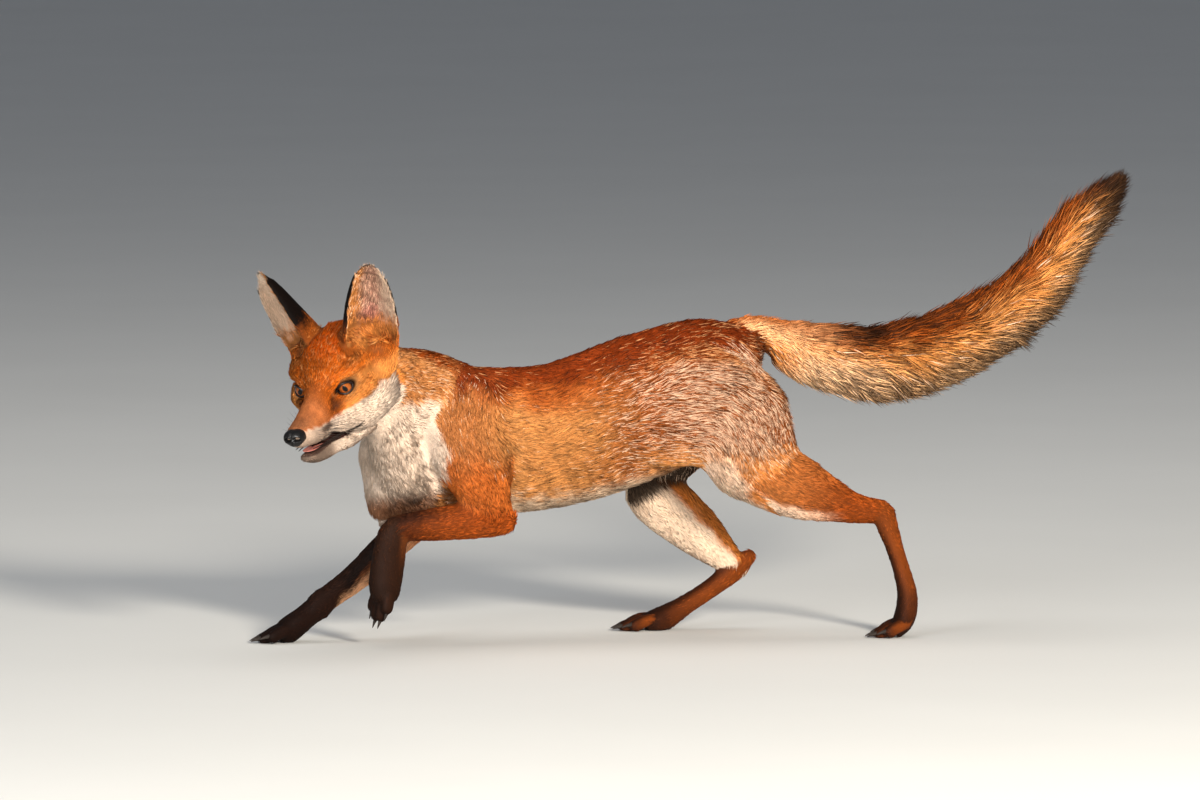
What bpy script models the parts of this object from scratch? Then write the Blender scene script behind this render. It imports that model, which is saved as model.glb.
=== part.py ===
"""Life-size red fox in mid-run, as a museum shows one: a still model that stands on three of its four feet.

The fox runs towards -X with its left side towards -Y and turns its head to the left. +Z is up and the floor
is z = 0. Every length is in millimetres until it goes into a mesh, where MM turns it into metres.
The outside of these solids is the outside of the coat. The body is lofted limb by limb, melted into one
surface, and then parted by thin cuts into the parts that a person would name.
"""

import math

import bmesh
import bpy
import numpy as np
from mathutils import Matrix, Vector

MM = 0.001
GAP = 0.3  # free space left between two neighbouring parts
LEG_GAP = 0.5  # the same at a leg, whose outline is coarser
MELT_VOXEL = 2.6  # grid on which the limbs melt together
MELT_SMOOTHING = 9  # rounds of smoothing that turn the creases between limbs into flesh
BODY_TRIANGLES = 2510  # of the melted body, before it is parted
OUTLINE_TRIANGLES = 300  # of the outline that parts off a leg
LEG_MARGIN = 2.5  # the outline that parts a leg from the trunk runs this far outside the leg's own lofts
RING_SIDES = 28
RINGS_PER_SPAN = 6
SOLE_LEVEL = 6.0  # height in the lofts at which the three standing feet are cut flat: the floor

# The head turns to the fox's left and dips; its frame starts halfway between the eyes.
HEAD_YAW, HEAD_PITCH, HEAD_ROLL = 52.0, 19.0, -6.0
EYES_MIDDLE = Vector((-260.4, -94.7, 256.1))
EYE_CENTRE = Vector((-7.0, 22.8, 0.0))
EYE_RADIUS = 8.2
EYE_TURN = 24.0  # degrees that an eye looks outwards
LID_OPENING = (9.0, 9.6, 6.4)  # half sizes of the opening: deep, long, high

EAR_BASE = Vector((-50.0, 34.0, 12.0))
EAR_TIP = Vector((-40.0, 61.5, 112.0))
EAR_TURN = {1: 40.0, -1: 30.0}  # degrees that the opening of the left (1) and the right ear looks outwards
EAR_HALF_WIDTH = {1: 29.0, -1: 25.0}  # the right ear is folded closer
EAR_DEPTH, EAR_THICKNESS = 18.0, 3.0
EAR_SWEEP = 105.0  # degrees that the cup reaches to each side of its back
EAR_RIM_THINNING = 0.45  # share of the gristle's thickness that is lost at the rim

COAT = {
    "rust": ((0.50, 0.16, 0.04), 0.85),
    "cream": ((0.72, 0.62, 0.50), 0.9),
    "black": ((0.03, 0.022, 0.02), 0.8),
    "brush": ((0.34, 0.15, 0.06), 0.9),
    "nose": ((0.012, 0.011, 0.012), 0.3),
    "tongue": ((0.55, 0.20, 0.17), 0.35),
    "eye": ((0.45, 0.17, 0.04), 0.08),
}


def clear_scene():
    for obj in list(bpy.data.objects):
        bpy.data.objects.remove(obj)


def material(name):
    """A Principled finish from the coat table, made once."""
    if name in bpy.data.materials:
        return bpy.data.materials[name]
    colour, roughness = COAT[name]
    made = bpy.data.materials.new(name)
    made.use_nodes = True
    shader = made.node_tree.nodes["Principled BSDF"]
    shader.inputs["Base Color"].default_value = (*colour, 1.0)
    shader.inputs["Roughness"].default_value = roughness
    shader.inputs["Metallic"].default_value = 0.0
    return made


def object_from(name, vertices, faces, finish="rust"):
    """A mesh object from points in millimetres and faces."""
    mesh = bpy.data.meshes.new(name)
    mesh.from_pydata([tuple(v * MM for v in point) for point in vertices], [], faces)
    mesh.update()
    obj = bpy.data.objects.new(name, mesh)
    bpy.context.scene.collection.objects.link(obj)
    mesh.materials.append(material(finish))
    return obj


def smooth_rows(rows, steps):
    """Catmull-Rom curve through rows of numbers, steps points for each span."""
    rows = np.asarray(rows, float)
    padded = np.vstack([2 * rows[0] - rows[1], rows, 2 * rows[-1] - rows[-2]])
    out = []
    for a, b, c, d in zip(padded, padded[1:], padded[2:], padded[3:]):
        for t in np.arange(steps) / steps:
            out.append(
                0.5
                * (2 * b + (c - a) * t + (2 * a - 5 * b + 4 * c - d) * t**2 + (3 * b - a - 3 * c + d) * t**3)
            )
    out.append(rows[-1])
    return np.array(out)


def loft(
    name,
    stations,
    across=(0, 1, 0),
    fullness=2.0,
    steps=RINGS_PER_SPAN,
    sides=RING_SIDES,
    finish="rust",
):
    """A closed tube through stations of (x, y, z, half width, front radius, back radius).

    Each ring stands square to the path. Its width runs along `across`, and its front is across x path
    direction: the top of a trunk drawn from tail to head, and the front of a leg drawn from top to toe.
    """
    rows = smooth_rows(stations, steps)
    centres = rows[:, :3]
    half_width, front, back = np.maximum(rows[:, 3:6], 0.4).T
    forward = np.gradient(centres, axis=0)
    forward /= np.linalg.norm(forward, axis=1, keepdims=True)
    side = np.asarray(across, float) - forward * (forward @ np.asarray(across, float))[:, None]
    side /= np.linalg.norm(side, axis=1, keepdims=True)
    face = np.cross(side, forward)
    turn = np.linspace(0, 2 * math.pi, sides, endpoint=False)
    cosine, sine = np.cos(turn), np.sin(turn)
    wide = np.sign(cosine) * np.abs(cosine) ** (2 / fullness)
    high = np.sign(sine) * np.abs(sine) ** (2 / fullness)
    radius = np.where(sine[None] > 0, front[:, None], back[:, None])
    rings = (
        centres[:, None]
        + side[:, None] * (half_width[:, None] * wide)[..., None]
        + face[:, None] * (radius * high)[..., None]
    )
    vertices = list(rings.reshape(-1, 3)) + [centres[0], centres[-1]]
    first, last = len(vertices) - 2, len(vertices) - 1
    faces = []
    for i in range(len(rows) - 1):
        for j in range(sides):
            k = (j + 1) % sides
            faces.append((i * sides + j, i * sides + k, (i + 1) * sides + k, (i + 1) * sides + j))
    for j in range(sides):
        k = (j + 1) % sides
        faces.append((first, k, j))
        faces.append((last, (len(rows) - 1) * sides + j, (len(rows) - 1) * sides + k))
    obj = object_from(name, vertices, faces, finish)
    face_outwards(obj)
    return obj


def face_outwards(obj):
    edit = bmesh.new()
    edit.from_mesh(obj.data)
    bmesh.ops.recalc_face_normals(edit, faces=edit.faces)
    edit.to_mesh(obj.data)
    edit.free()


def head_matrix():
    """Turns (forward, left, up) of the head, from between the eyes, into the fox's own frame."""
    yaw, pitch, roll = (math.radians(angle) for angle in (HEAD_YAW, HEAD_PITCH, HEAD_ROLL))
    level = Matrix(((-1, 0, 0), (0, -1, 0), (0, 0, 1)))
    turned = Matrix.Rotation(yaw, 3, "Z") @ level
    dipped = turned @ Matrix.Rotation(pitch, 3, "Y") @ Matrix.Rotation(-roll, 3, "X")
    made = dipped.to_4x4()
    made.translation = EYES_MIDDLE
    return made


HEAD = head_matrix()
HEAD_LEFT = tuple(HEAD.to_3x3() @ Vector((0, 1, 0)))


def on_head(rows):
    """Stations written as (forward, left, up, half width, up, down) on the head, as stations of the fox."""
    return [(*(HEAD @ Vector(row[:3])), *row[3:]) for row in rows]


def head_loft(name, rows, **options):
    return loft(name, on_head(rows), across=HEAD_LEFT, **options)


# ---------------------------------------------------------------- trunk, neck and tail


def trunk_and_neck():
    """Barrel of the body from rump to breast, and the neck that bends to the left."""
    trunk = [
        (181, 0, 258, 20, 26, 26),
        (172, 0, 260, 36, 42, 48),
        (160, 0, 258, 47, 51, 66),
        (130, 0, 252, 52, 60, 78),
        (95, 0, 243, 49, 62.5, 78),
        (60, 0, 232, 47.5, 64, 80),
        (20, 0, 217, 49.5, 64.5, 79),
        (-20, 0, 205, 53, 66, 76),
        (-60, 0, 200, 53, 69, 75),
        (-100, 0, 198, 51, 72, 71),
        (-135, 0, 192, 47, 72, 62),
        (-162, -4, 174, 42, 56, 61),
        (-175, -8, 159, 37, 37, 53),
        (-185, -11, 144, 28, 21, 41),
        (-191, -12, 131, 15, 10, 26),
    ]
    neck = [
        (-85, 0, 205, 40, 56, 60),
        (-120, -4, 220, 43, 57, 62),
        (-150, -12, 236, 43, 53, 60),
        (-178, -26, 243, 40, 50, 48),
        (-203, -42, 253, 38, 46, 38),
        (-224, -60, 257, 34, 36, 28),
    ]
    fold = [  # throat to breast
        (-203, -62, 243, 18, 18, 18),
        (-190, -48, 216, 21, 21, 24),
        (-178, -34, 191, 27, 27, 28),
        (-167, -20, 166, 33, 31, 30),
        (-158, -10, 146, 26, 22, 22),
    ]
    made = [
        loft("trunk_loft", trunk, fullness=2.15),
        loft("neck_loft", neck, fullness=2.1),
        loft("fold_loft", fold),
    ]
    for side in (1, -1):
        flank = [  # thigh to ribs: the fold that carries the flank over onto the thigh
            (172, side * 46, 232, 18, 40, 50),
            (140, side * 47, 232, 24, 54, 66),
            (105, side * 44, 231, 24, 56, 63),
            (65, side * 34, 222, 23, 48, 54),
            (20, side * 24, 214, 18, 34, 32),
        ]
        made.append(loft("flank_loft", flank))
    return made


TAIL = [  # tip to root, so that the front radius is the tail's top
    (549, 16, 436, 1, 1, 1),
    (542, 16, 431, 9, 10, 9),
    (533, 16, 423, 14, 15, 16),
    (518, 15, 408, 18, 20, 23),
    (498, 14, 388, 22, 23, 27),
    (473, 12, 355, 26, 26, 31),
    (444, 10, 323, 30, 32, 37),
    (407, 8, 298, 34, 37, 39),
    (368, 6, 279, 36, 40, 41),
    (329, 4, 268, 36, 41, 41),
    (290, 2, 265, 34, 39, 39),
    (250, 1, 272, 29, 35, 35),
    (217, 0, 282, 22, 27, 28),
    (191, 0, 292, 17, 20, 18),
    (165, 0, 293, 17, 19, 18),
    (145, 0, 286, 14, 14, 14),
]


# ---------------------------------------------------------------- legs


def left_foreleg():
    """Raised leg: forearm carried level, paw hanging from the wrist."""
    shoulder = [
        (-90, -26, 248, 8, 18, 20),
        (-104, -36, 238, 16, 34, 34),
        (-112, -42, 212, 19, 38, 40),
        (-108, -47, 184, 20, 36, 42),
        (-97, -50, 158, 19, 30, 33),
        (-86, -52, 137, 17, 24, 22),
        (-80, -52, 124, 13, 16, 14),
    ]
    forearm = [
        (-63, -52, 124, 9, 8, 8),
        (-70, -52, 125, 13, 14, 15),
        (-84, -52, 127, 16, 19, 20),
        (-110, -51, 126, 16, 19, 21),
        (-135, -50, 124, 15, 18, 20),
        (-160, -48, 121, 13.5, 16, 17),
        (-180, -46, 119, 13, 14, 14),
        (-190, -45, 117, 8, 8, 8),
    ]
    paw = [
        (-180, -45, 127, 8, 8, 8),
        (-181, -45, 118, 13, 14.5, 15),
        (-183, -45, 104, 14, 17.5, 16),
        (-186, -45, 86, 14.5, 18, 17),
        (-189, -44, 66, 16.5, 17.5, 17),
        (-190, -44, 52, 15, 13.5, 14),
        (-190, -44, 46, 8, 7, 7),
    ]
    return [loft("fl_shoulder", shoulder), loft("fl_forearm", forearm), loft("fl_paw", paw)]


def right_foreleg():
    """Leading leg: reaches forward and down to the floor."""
    shoulder = [
        (-106, 26, 248, 8, 18, 20),
        (-128, 35, 238, 16, 34, 34),
        (-150, 40, 212, 19, 38, 40),
        (-156, 42, 182, 20, 34, 40),
        (-149, 42, 154, 18, 36, 30),
        (-147, 41, 134, 17, 37, 24),
        (-146, 40, 117, 15, 35, 16),
    ]
    forearm = [
        (-122, 42, 128, 9, 8, 8),
        (-132, 41, 124, 15, 19, 19),
        (-150, 38, 111, 16, 20, 20),
        (-176, 32, 90, 15, 17, 18.5),
        (-203, 25, 68, 13.5, 14.5, 16.5),
        (-227, 18, 52, 13, 13, 15),
        (-240, 15, 43, 12.5, 14, 14),
        (-248, 14, 38, 8, 8, 8),
    ]
    paw = [
        (-226, 17, 52, 8, 8, 8),
        (-238, 15, 43, 12.5, 14, 14),
        (-252, 13, 34, 14, 13, 14),
        (-264, 11, 26, 16, 12, 15),
        (-276, 10, 18, 17, 11, 16),
        (-284, 9, 14, 13, 7, 12),
    ]
    return [loft("fr_shoulder", shoulder), loft("fr_forearm", forearm), loft("fr_paw", paw)]


def left_hindleg():
    """Trailing leg: stretched back, standing on its toes at the end of the push."""
    thigh = [
        (146, -26, 284, 9, 24, 14),
        (150, -37, 268, 20, 44, 27),
        (153, -44, 240, 24, 50, 46),
        (158, -49, 212, 26, 52, 49),
        (166, -53, 186, 25, 52, 48),
        (174, -55, 162, 22, 42, 42),
        (180, -56, 144, 14, 22, 26),
    ]
    shank = [
        (150, -55, 164, 14, 12, 16),
        (165, -56, 160, 20, 24, 28),
        (190, -58, 152, 21, 27, 43),
        (214, -60, 145, 19, 27, 39),
        (239, -61, 139, 16, 23.5, 27),
        (262, -62, 132, 13.5, 18, 18.5),
        (282, -62, 128, 12, 14.5, 15),
        (296, -62, 128, 11, 12, 13),
        (303, -62, 128, 6, 6, 6),
    ]
    foot = [
        (293, -62, 138, 7, 7, 6),
        (294, -62, 128, 11, 13, 12),
        (298, -62, 112, 11, 11.5, 12),
        (305, -63, 92, 10.5, 10, 10),
        (312, -64, 70, 11.5, 10, 9.5),
        (317, -65, 50, 14, 11, 10.5),
        (316, -66, 34, 16, 11, 12),
        (311, -66, 20, 15, 10, 12),
        (303, -66, 10, 11, 7, 9),
    ]
    return [loft("hl_thigh", thigh), loft("hl_shank", shank), loft("hl_foot", foot)]


def right_hindleg():
    """Standing leg: folded under the belly, foot flat on its pads."""
    thigh = [
        (146, 26, 284, 9, 24, 14),
        (142, 37, 268, 20, 42, 34),
        (132, 44, 240, 24, 48, 50),
        (118, 49, 212, 25, 48, 50),
        (102, 53, 187, 22, 42, 48),
        (88, 55, 166, 19, 30, 38),
        (78, 56, 150, 13, 16, 22),
    ]
    shank = [
        (70, 56, 164, 10, 10, 12),
        (82, 56, 155, 18, 27, 26),
        (100, 55, 137, 20, 34, 29),
        (122, 54, 116, 18, 32, 27),
        (144, 52, 95, 15, 26, 23),
        (163, 51, 76, 12.5, 18, 17),
        (176, 50, 65, 11.5, 13, 13),
        (184, 50, 58, 6, 6, 6),
    ]
    foot = [
        (192, 50, 80, 6, 5, 5),
        (186, 50, 74, 10, 9, 9),
        (172, 50, 61, 12, 13, 11.5),
        (150, 49, 45, 11.5, 11, 10.5),
        (126, 48, 31, 12.5, 10.5, 11),
        (106, 47, 21, 15, 11, 15),
        (92, 47, 15, 17, 11, 16),
        (83, 47, 12, 13, 7, 12),
    ]
    return [loft("hr_thigh", thigh), loft("hr_shank", shank), loft("hr_foot", foot)]


# Each paw: where its toes grow from, where the middle toes end, and which way is across.
PAWS = {
    "fl": {"root": (-190, -44, 60), "tip": (-196, -43, 29), "across": (0.35, -0.94, 0)},
    "fr": {"root": (-272, 10, 19), "tip": (-303, 7, 8), "across": (0.05, 1, 0)},
    "hl": {"root": (311, -66, 18), "tip": (284, -67, 7.5), "across": (0, 1, 0)},
    "hr": {"root": (90, 47, 17), "tip": (58, 45, 8), "across": (0, 1, 0)},
}
TOE_SPREAD, TOE_RADIUS, OUTER_TOE_SHORT = 8.6, 6.6, 8.0
CLAW_DIP = 0.5  # a claw slopes down half as steeply as its toe


def toe_places(paw):
    """Root and tip of the four toes, the two outer ones set back."""
    across = Vector(paw["across"]).normalized()
    root, tip = Vector(paw["root"]), Vector(paw["tip"])
    ahead = (tip - root).normalized()
    for place in (-1.5, -0.5, 0.5, 1.5):
        set_back = OUTER_TOE_SHORT if abs(place) > 1 else 0.0
        yield (
            root + across * TOE_SPREAD * place * 0.8 - ahead * set_back * 0.5,
            tip + across * TOE_SPREAD * place * 1.05 - ahead * set_back,
        )


def toes(name):
    made = []
    for i, (root, tip) in enumerate(toe_places(PAWS[name])):
        knuckle = root.lerp(tip, 0.5) + Vector((0, 0, 1.5))
        rows = [
            (*root, 5, 5, 5),
            (*root.lerp(knuckle, 0.6), TOE_RADIUS * 0.9, TOE_RADIUS, TOE_RADIUS),
            (*knuckle, TOE_RADIUS * 0.92, TOE_RADIUS, TOE_RADIUS * 1.1),
            (*knuckle.lerp(tip, 0.7), TOE_RADIUS * 0.9, TOE_RADIUS * 0.85, TOE_RADIUS * 1.1),
            (*tip, 2.5, 2.5, 2.5),
        ]
        made.append(loft(f"{name}_toe_{i}", rows, across=PAWS[name]["across"], steps=3, sides=14))
    return made


# ---------------------------------------------------------------- head


def head_lofts():
    """Skull and muzzle, throat, and on each side the cheek with its ruff, brow, cheekbone and ear root."""
    skull = [
        (72, 0, -19, 3, 3, 4),
        (70, 0, -19, 8, 7, 9),
        (64, 0, -19, 12, 10, 13),
        (52, 0, -20, 14.5, 12.5, 15.5),
        (38, 0, -20.5, 16.5, 15.5, 19),
        (24, 0, -18.5, 16.5, 19, 21.5),
        (12, 0, -14, 15, 20.5, 27),
        (0, 0, -8, 18.5, 25, 34),
        (-12, 0, -2, 30, 29, 40),
        (-26, 0, 2, 38, 34, 46),
        (-42, 0, 4, 41, 39, 48),
        (-58, 0, 4, 40, 42, 46),
        (-74, 0, 2, 35, 40, 42),
        (-90, 0, -2, 22, 23, 24),
    ]
    throat = [
        (8, 0, -48, 10, 6, 6),
        (-8, 0, -51, 22, 14, 13),
        (-28, 0, -49, 30, 20, 20),
        (-48, 0, -44, 32, 22, 24),
        (-66, 0, -38, 26, 18, 20),
    ]
    made = [head_loft("skull_loft", skull, fullness=2.2), head_loft("throat_loft", throat)]
    for side in (1, -1):
        cheek = [
            (22, side * 10, -24, 6, 8, 9),
            (8, side * 16, -26, 9, 12, 16),
            (-8, side * 22, -26, 12, 16, 22),
            (-26, side * 29, -25, 15, 20, 26),
            (-42, side * 33, -22, 16, 21, 25),
            (-58, side * 33, -23, 16, 21, 24),
            (-74, side * 31, -26, 15, 20, 22),
            (-90, side * 24, -30, 8, 11, 12),
        ]
        brow = [
            (8, side * 10, 3, 4, 4, 4),
            (0, side * 18, 10.5, 6.5, 6, 5.5),
            (-12, side * 27.5, 14.5, 9, 7, 7),
            (-28, side * 33, 18, 9, 8, 10),
        ]
        ear_root = [
            (-46, side * 29, -6, 18, 16, 16),
            (-52, side * 36, 4, 23, 18, 19),
            (-56, side * 40, 13, 21, 15, 17),
            (-55, side * 43, 22, 14, 11, 12),
            (-54, side * 44.5, 28, 7, 5, 5),
        ]
        cheekbone = [
            (12, side * 12, -15, 5, 4, 6),
            (0, side * 22, -12, 9, 7, 9),
            (-14, side * 31, -9, 11, 9, 11),
            (-30, side * 34, -6, 10, 10, 11),
            (-42, side * 31, -6, 4, 5, 6),
        ]
        made.append(head_loft(f"cheek_loft_{side}", cheek))
        made.append(head_loft(f"brow_loft_{side}", brow))
        made.append(head_loft(f"ear_root_loft_{side}", ear_root))
        made.append(head_loft(f"cheekbone_loft_{side}", cheekbone))
    return made


def jaw():
    rows = [
        (59, 0, -43.5, 5, 3, 4),
        (55, 0, -45, 8.5, 4.5, 5),
        (44, 0, -49, 11, 5.5, 7),
        (30, 0, -51.5, 13.5, 7, 7.5),
        (14, 0, -52, 17, 8, 8.5),
        (-4, 0, -54, 21, 9, 10),
        (-20, 0, -55, 21, 9, 10),
        (-28, 0, -54, 12, 5, 6),
    ]
    return head_loft("jaw", rows, steps=2, sides=14, finish="cream")


def tongue():
    rows = [
        (55, 0, -39.4, 3, 1, 1),
        (52, 0, -39.6, 6.5, 1.8, 2),
        (42, 0, -41.8, 7.5, 2, 2.5),
        (30, 0, -43, 7.5, 2, 2.5),
        (20, 0, -42.8, 4, 1, 1),
    ]
    return head_loft("tongue", rows, steps=1, sides=12, finish="tongue")


def nose():
    """The pad: broad above, with its two wings, narrower towards the lip."""
    rows = [
        (60, 0, -18.2, 8, 6, 8),
        (67, 0, -18.2, 10.2, 7.8, 9.2),
        (72, 0, -18.6, 10.2, 7.8, 9.2),
        (75.5, 0, -19.2, 7.8, 5.8, 7),
        (77, 0, -19.8, 3, 2.5, 3),
    ]
    return head_loft("nose", rows, steps=2, sides=14, finish="nose")


def eye_matrix(side):
    """Stands on an eye's centre, its first axis the way that the eye looks."""
    centre = Vector((EYE_CENTRE.x, side * EYE_CENTRE.y, EYE_CENTRE.z))
    return HEAD @ Matrix.Translation(centre) @ Matrix.Rotation(side * math.radians(EYE_TURN), 4, "Z")


def ball(name, matrix, half_sizes, finish, subdivisions=2):
    shape = bmesh.new()
    bmesh.ops.create_icosphere(shape, subdivisions=subdivisions, radius=1)
    vertices = [matrix @ Vector(a * b for a, b in zip(vertex.co, half_sizes)) for vertex in shape.verts]
    faces = [tuple(vertex.index for vertex in face.verts) for face in shape.faces]
    shape.free()
    return object_from(name, vertices, faces, finish)


def eye(side):
    name = "eye_left" if side > 0 else "eye_right"
    return ball(name, eye_matrix(side), (EYE_RADIUS, EYE_RADIUS, EYE_RADIUS), "eye")


def lid_opening(side):
    """What the lids leave open in front of the eye."""
    ahead = Matrix.Translation((0.6 * EYE_RADIUS, 0, 0))
    return ball("lid_opening", eye_matrix(side) @ ahead, LID_OPENING, "eye")


def ear(side, rows=9, columns=8):
    """A cupped shell: each cross section is an arc, open towards the front and the outside."""
    base = Vector((EAR_BASE.x, side * EAR_BASE.y, EAR_BASE.z))
    tip = Vector((EAR_TIP.x, side * EAR_TIP.y, EAR_TIP.z))
    axis = (tip - base).normalized()
    turn = math.radians(EAR_TURN[side])
    facing = Vector((math.cos(turn), side * math.sin(turn), 0))
    facing = (facing - axis * facing.dot(axis)).normalized()
    across = axis.cross(facing)
    vertices = []
    for i in range(rows + 1):
        t = 0.997 * (1 - (1 - i / rows) ** 1.4)
        half_width = EAR_HALF_WIDTH[side] * math.sqrt(1 - t**2) * (0.92 + 0.08 * min(1, t / 0.2))
        depth = EAR_DEPTH * (math.sqrt(1 - t**2) + 0.7 * (1 - t) ** 2)
        inner = []
        for j in range(columns + 1):
            place = 2 * j / columns - 1
            angle = math.radians(EAR_SWEEP) * place
            sheet = EAR_THICKNESS * (1 - EAR_RIM_THINNING * place**2) * min(1, 0.35 + half_width / 12)
            spot = base + axis * (t * (tip - base).length)
            outward = across * math.sin(angle) * half_width - facing * math.cos(angle) * depth
            shrink = 1 - sheet / max(outward.length, sheet * 1.6)
            vertices.append(HEAD @ (spot + outward))
            inner.append(HEAD @ (spot + outward * shrink))
        vertices += reversed(inner)
    ring = 2 * (columns + 1)
    faces = []
    for i in range(rows):
        for j in range(ring):
            k = (j + 1) % ring
            faces.append((i * ring + j, i * ring + k, (i + 1) * ring + k, (i + 1) * ring + j))
    for start in (0, rows * ring):
        for j in range(columns):
            faces.append((start + j, start + j + 1, start + ring - 2 - j, start + ring - 1 - j))
    obj = object_from("ear_left" if side > 0 else "ear_right", vertices, faces)
    face_outwards(obj)
    return obj


# ---------------------------------------------------------------- one body, then its parts


def melt(name, parts, triangles):
    """Joins closed lofts and melts them into one smooth closed surface of about so many triangles."""
    vertices, faces = [], []
    for obj in parts:
        offset = len(vertices)
        vertices += [vertex.co / MM for vertex in obj.data.vertices]
        faces += [tuple(offset + i for i in face.vertices) for face in obj.data.polygons]
        bpy.data.objects.remove(obj)
    body = object_from(name, vertices, faces)
    remesh = body.modifiers.new("melt", "REMESH")
    remesh.mode = "VOXEL"
    remesh.voxel_size = MELT_VOXEL * MM
    smooth = body.modifiers.new("soften", "SMOOTH")
    smooth.factor = 0.5
    smooth.iterations = MELT_SMOOTHING
    apply_modifiers(body)
    fewer = body.modifiers.new("fewer", "DECIMATE")
    fewer.ratio = triangles / (2 * len(body.data.polygons))
    apply_modifiers(body)
    return body


def apply_modifiers(obj):
    """Replaces the object's mesh by what its modifiers make of it."""
    graph = bpy.context.evaluated_depsgraph_get()
    graph.update()
    made = bpy.data.meshes.new_from_object(obj.evaluated_get(graph))
    obj.modifiers.clear()
    obj.data = made


def boolean(obj, operation, other):
    """Applies one exact Boolean and leaves the other object alone."""
    cut = obj.modifiers.new("cut", "BOOLEAN")
    cut.operation = operation
    cut.solver = "EXACT"
    cut.object = other
    apply_modifiers(obj)
    keep_largest(obj)


def keep_largest(obj):
    """Drops the crumbs that a cut leaves beside the one solid that the part is."""
    edit = bmesh.new()
    edit.from_mesh(obj.data)
    left, pieces = set(edit.verts), []
    while left:
        piece, front = set(), [left.pop()]
        while front:
            vertex = front.pop()
            piece.add(vertex)
            for edge in vertex.link_edges:
                other = edge.other_vert(vertex)
                if other in left:
                    left.remove(other)
                    front.append(other)
        pieces.append(piece)
    pieces.sort(key=len)
    crumbs = [vertex for piece in pieces[:-1] for vertex in piece]
    bmesh.ops.delete(edit, geom=crumbs, context="VERTS")
    edit.to_mesh(obj.data)
    edit.free()


def swell(obj, growth):
    """Moves the object's skin outwards by `growth` millimetres."""
    outwards = obj.modifiers.new("outwards", "DISPLACE")
    outwards.strength = growth * MM
    outwards.mid_level = 0.0
    apply_modifiers(obj)


def copy_of(obj, name, growth=0.0):
    """A second object of the same shape, its skin moved outwards by `growth` millimetres."""
    made = bpy.data.objects.new(name, obj.data.copy())
    bpy.context.scene.collection.objects.link(made)
    if growth:
        swell(made, growth)
    return made


def take_away(obj, other, gap=GAP):
    """Makes room in obj for the other solid and the gap round it."""
    room = copy_of(other, "room", gap)
    boolean(obj, "DIFFERENCE", room)
    bpy.data.objects.remove(room)


def part_off(body, name, spot, direction, finish):
    """Cuts off all that lies beyond the plane at `spot`, square to `direction`, as a part of its own."""
    facing = Vector(direction).normalized()
    turn = facing.to_track_quat("Z", "Y").to_matrix().to_4x4()
    part = copy_of(body, name)
    for obj, shift, operation in ((part, GAP / 2, "INTERSECT"), (body, -GAP / 2, "DIFFERENCE")):
        half_space = box_above("half_space", shift)
        half_space.data.transform(Matrix.Translation(Vector(spot) * MM) @ turn)
        boolean(obj, operation, half_space)
        bpy.data.objects.remove(half_space)
    part.data.materials.clear()
    part.data.materials.append(material(finish))
    return part


def box_above(name, bottom, reach=900.0):
    """A block far wider than the fox, whose underside lies at z = bottom."""
    square = ((-reach, -reach), (reach, -reach), (reach, reach), (-reach, reach))
    corners = [(x, y, z) for z in (bottom, reach) for x, y in square]
    faces = [(0, 3, 2, 1), (4, 5, 6, 7), (0, 1, 5, 4), (1, 2, 6, 5), (2, 3, 7, 6), (3, 0, 4, 7)]
    return object_from(name, corners, faces)


def part_off_leg(body, name, lofts, finish):
    """Cuts a whole leg out of the body along the swollen outline of its own lofts."""
    for obj in lofts:
        swell(obj, LEG_MARGIN)
    outline = melt("outline", lofts, OUTLINE_TRIANGLES)
    leg = copy_of(body, name)
    boolean(leg, "INTERSECT", outline)
    take_away(body, outline, LEG_GAP)
    boolean(body, "DIFFERENCE", outline)
    bpy.data.objects.remove(outline)
    leg.data.materials.clear()
    leg.data.materials.append(material(finish))
    return leg


# What each leg is lofted from, its paw, and its two joints: a spot on the cut and the direction down the leg.
LEGS = {
    "fore_left": (
        left_foreleg,
        "fl",
        ((-86, -52, 126), (-1, 0, -0.35)),
        ((-176, -46, 119), (-0.9, 0, -0.8)),
    ),
    "fore_right": (
        right_foreleg,
        "fr",
        ((-146, 40, 116), (-0.5, 0, -0.86)),
        ((-238, 15, 44), (-0.85, -0.2, -0.5)),
    ),
    "hind_left": (
        left_hindleg,
        "hl",
        ((196, -57, 150), (0.97, 0, -0.24)),
        ((292, -62, 122), (0.5, 0, -0.85)),
    ),
    "hind_right": (
        right_hindleg,
        "hr",
        ((98, 55, 148), (-0.2, 0, -1)),
        ((166, 51, 70), (0.3, 0, -0.95)),
    ),
}
LEG_NAMES = {"fore": ("upper_arm", "forearm", "paw"), "hind": ("thigh", "shank", "foot")}
TAIL_BASE_CUT = ((200, 0, 287), (0.95, 0, 0.3))
TAIL_MIDDLE_CUT = ((330, 4, 268), (1, 0, 0.05))
TAIL_TIP_CUT = ((446, 10, 322), (0.72, 0, 0.7))
NECK_CUT = ((-142, -8, 236), (-0.85, -0.2, 0.5))
HEAD_CUT_DEPTH = 70  # how far behind the eyes the head is parted from the neck


def add_claws(foot, paw):
    """Joins one claw to the tip of each toe."""
    root, tip = Vector(PAWS[paw]["root"]), Vector(PAWS[paw]["tip"])
    ahead = (tip - root).normalized()
    ahead.z *= CLAW_DIP
    for i, (_, toe_tip) in enumerate(toe_places(PAWS[paw])):
        base = toe_tip - ahead * 4 + Vector((0, 0, 2.4))
        rows = [
            (*base, 1.9, 2.2, 2.2),
            (*(base + ahead * 6 + Vector((0, 0, 1.2))), 1.5, 1.9, 1.9),
            (*(base + ahead * 11 + Vector((0, 0, -0.4))), 0.5, 0.5, 0.5),
        ]
        claw = loft(f"{paw}_claw_{i}", rows, across=PAWS[paw]["across"], steps=1, sides=6, finish="nose")
        boolean(foot, "UNION", claw)
        bpy.data.objects.remove(claw)


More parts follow.
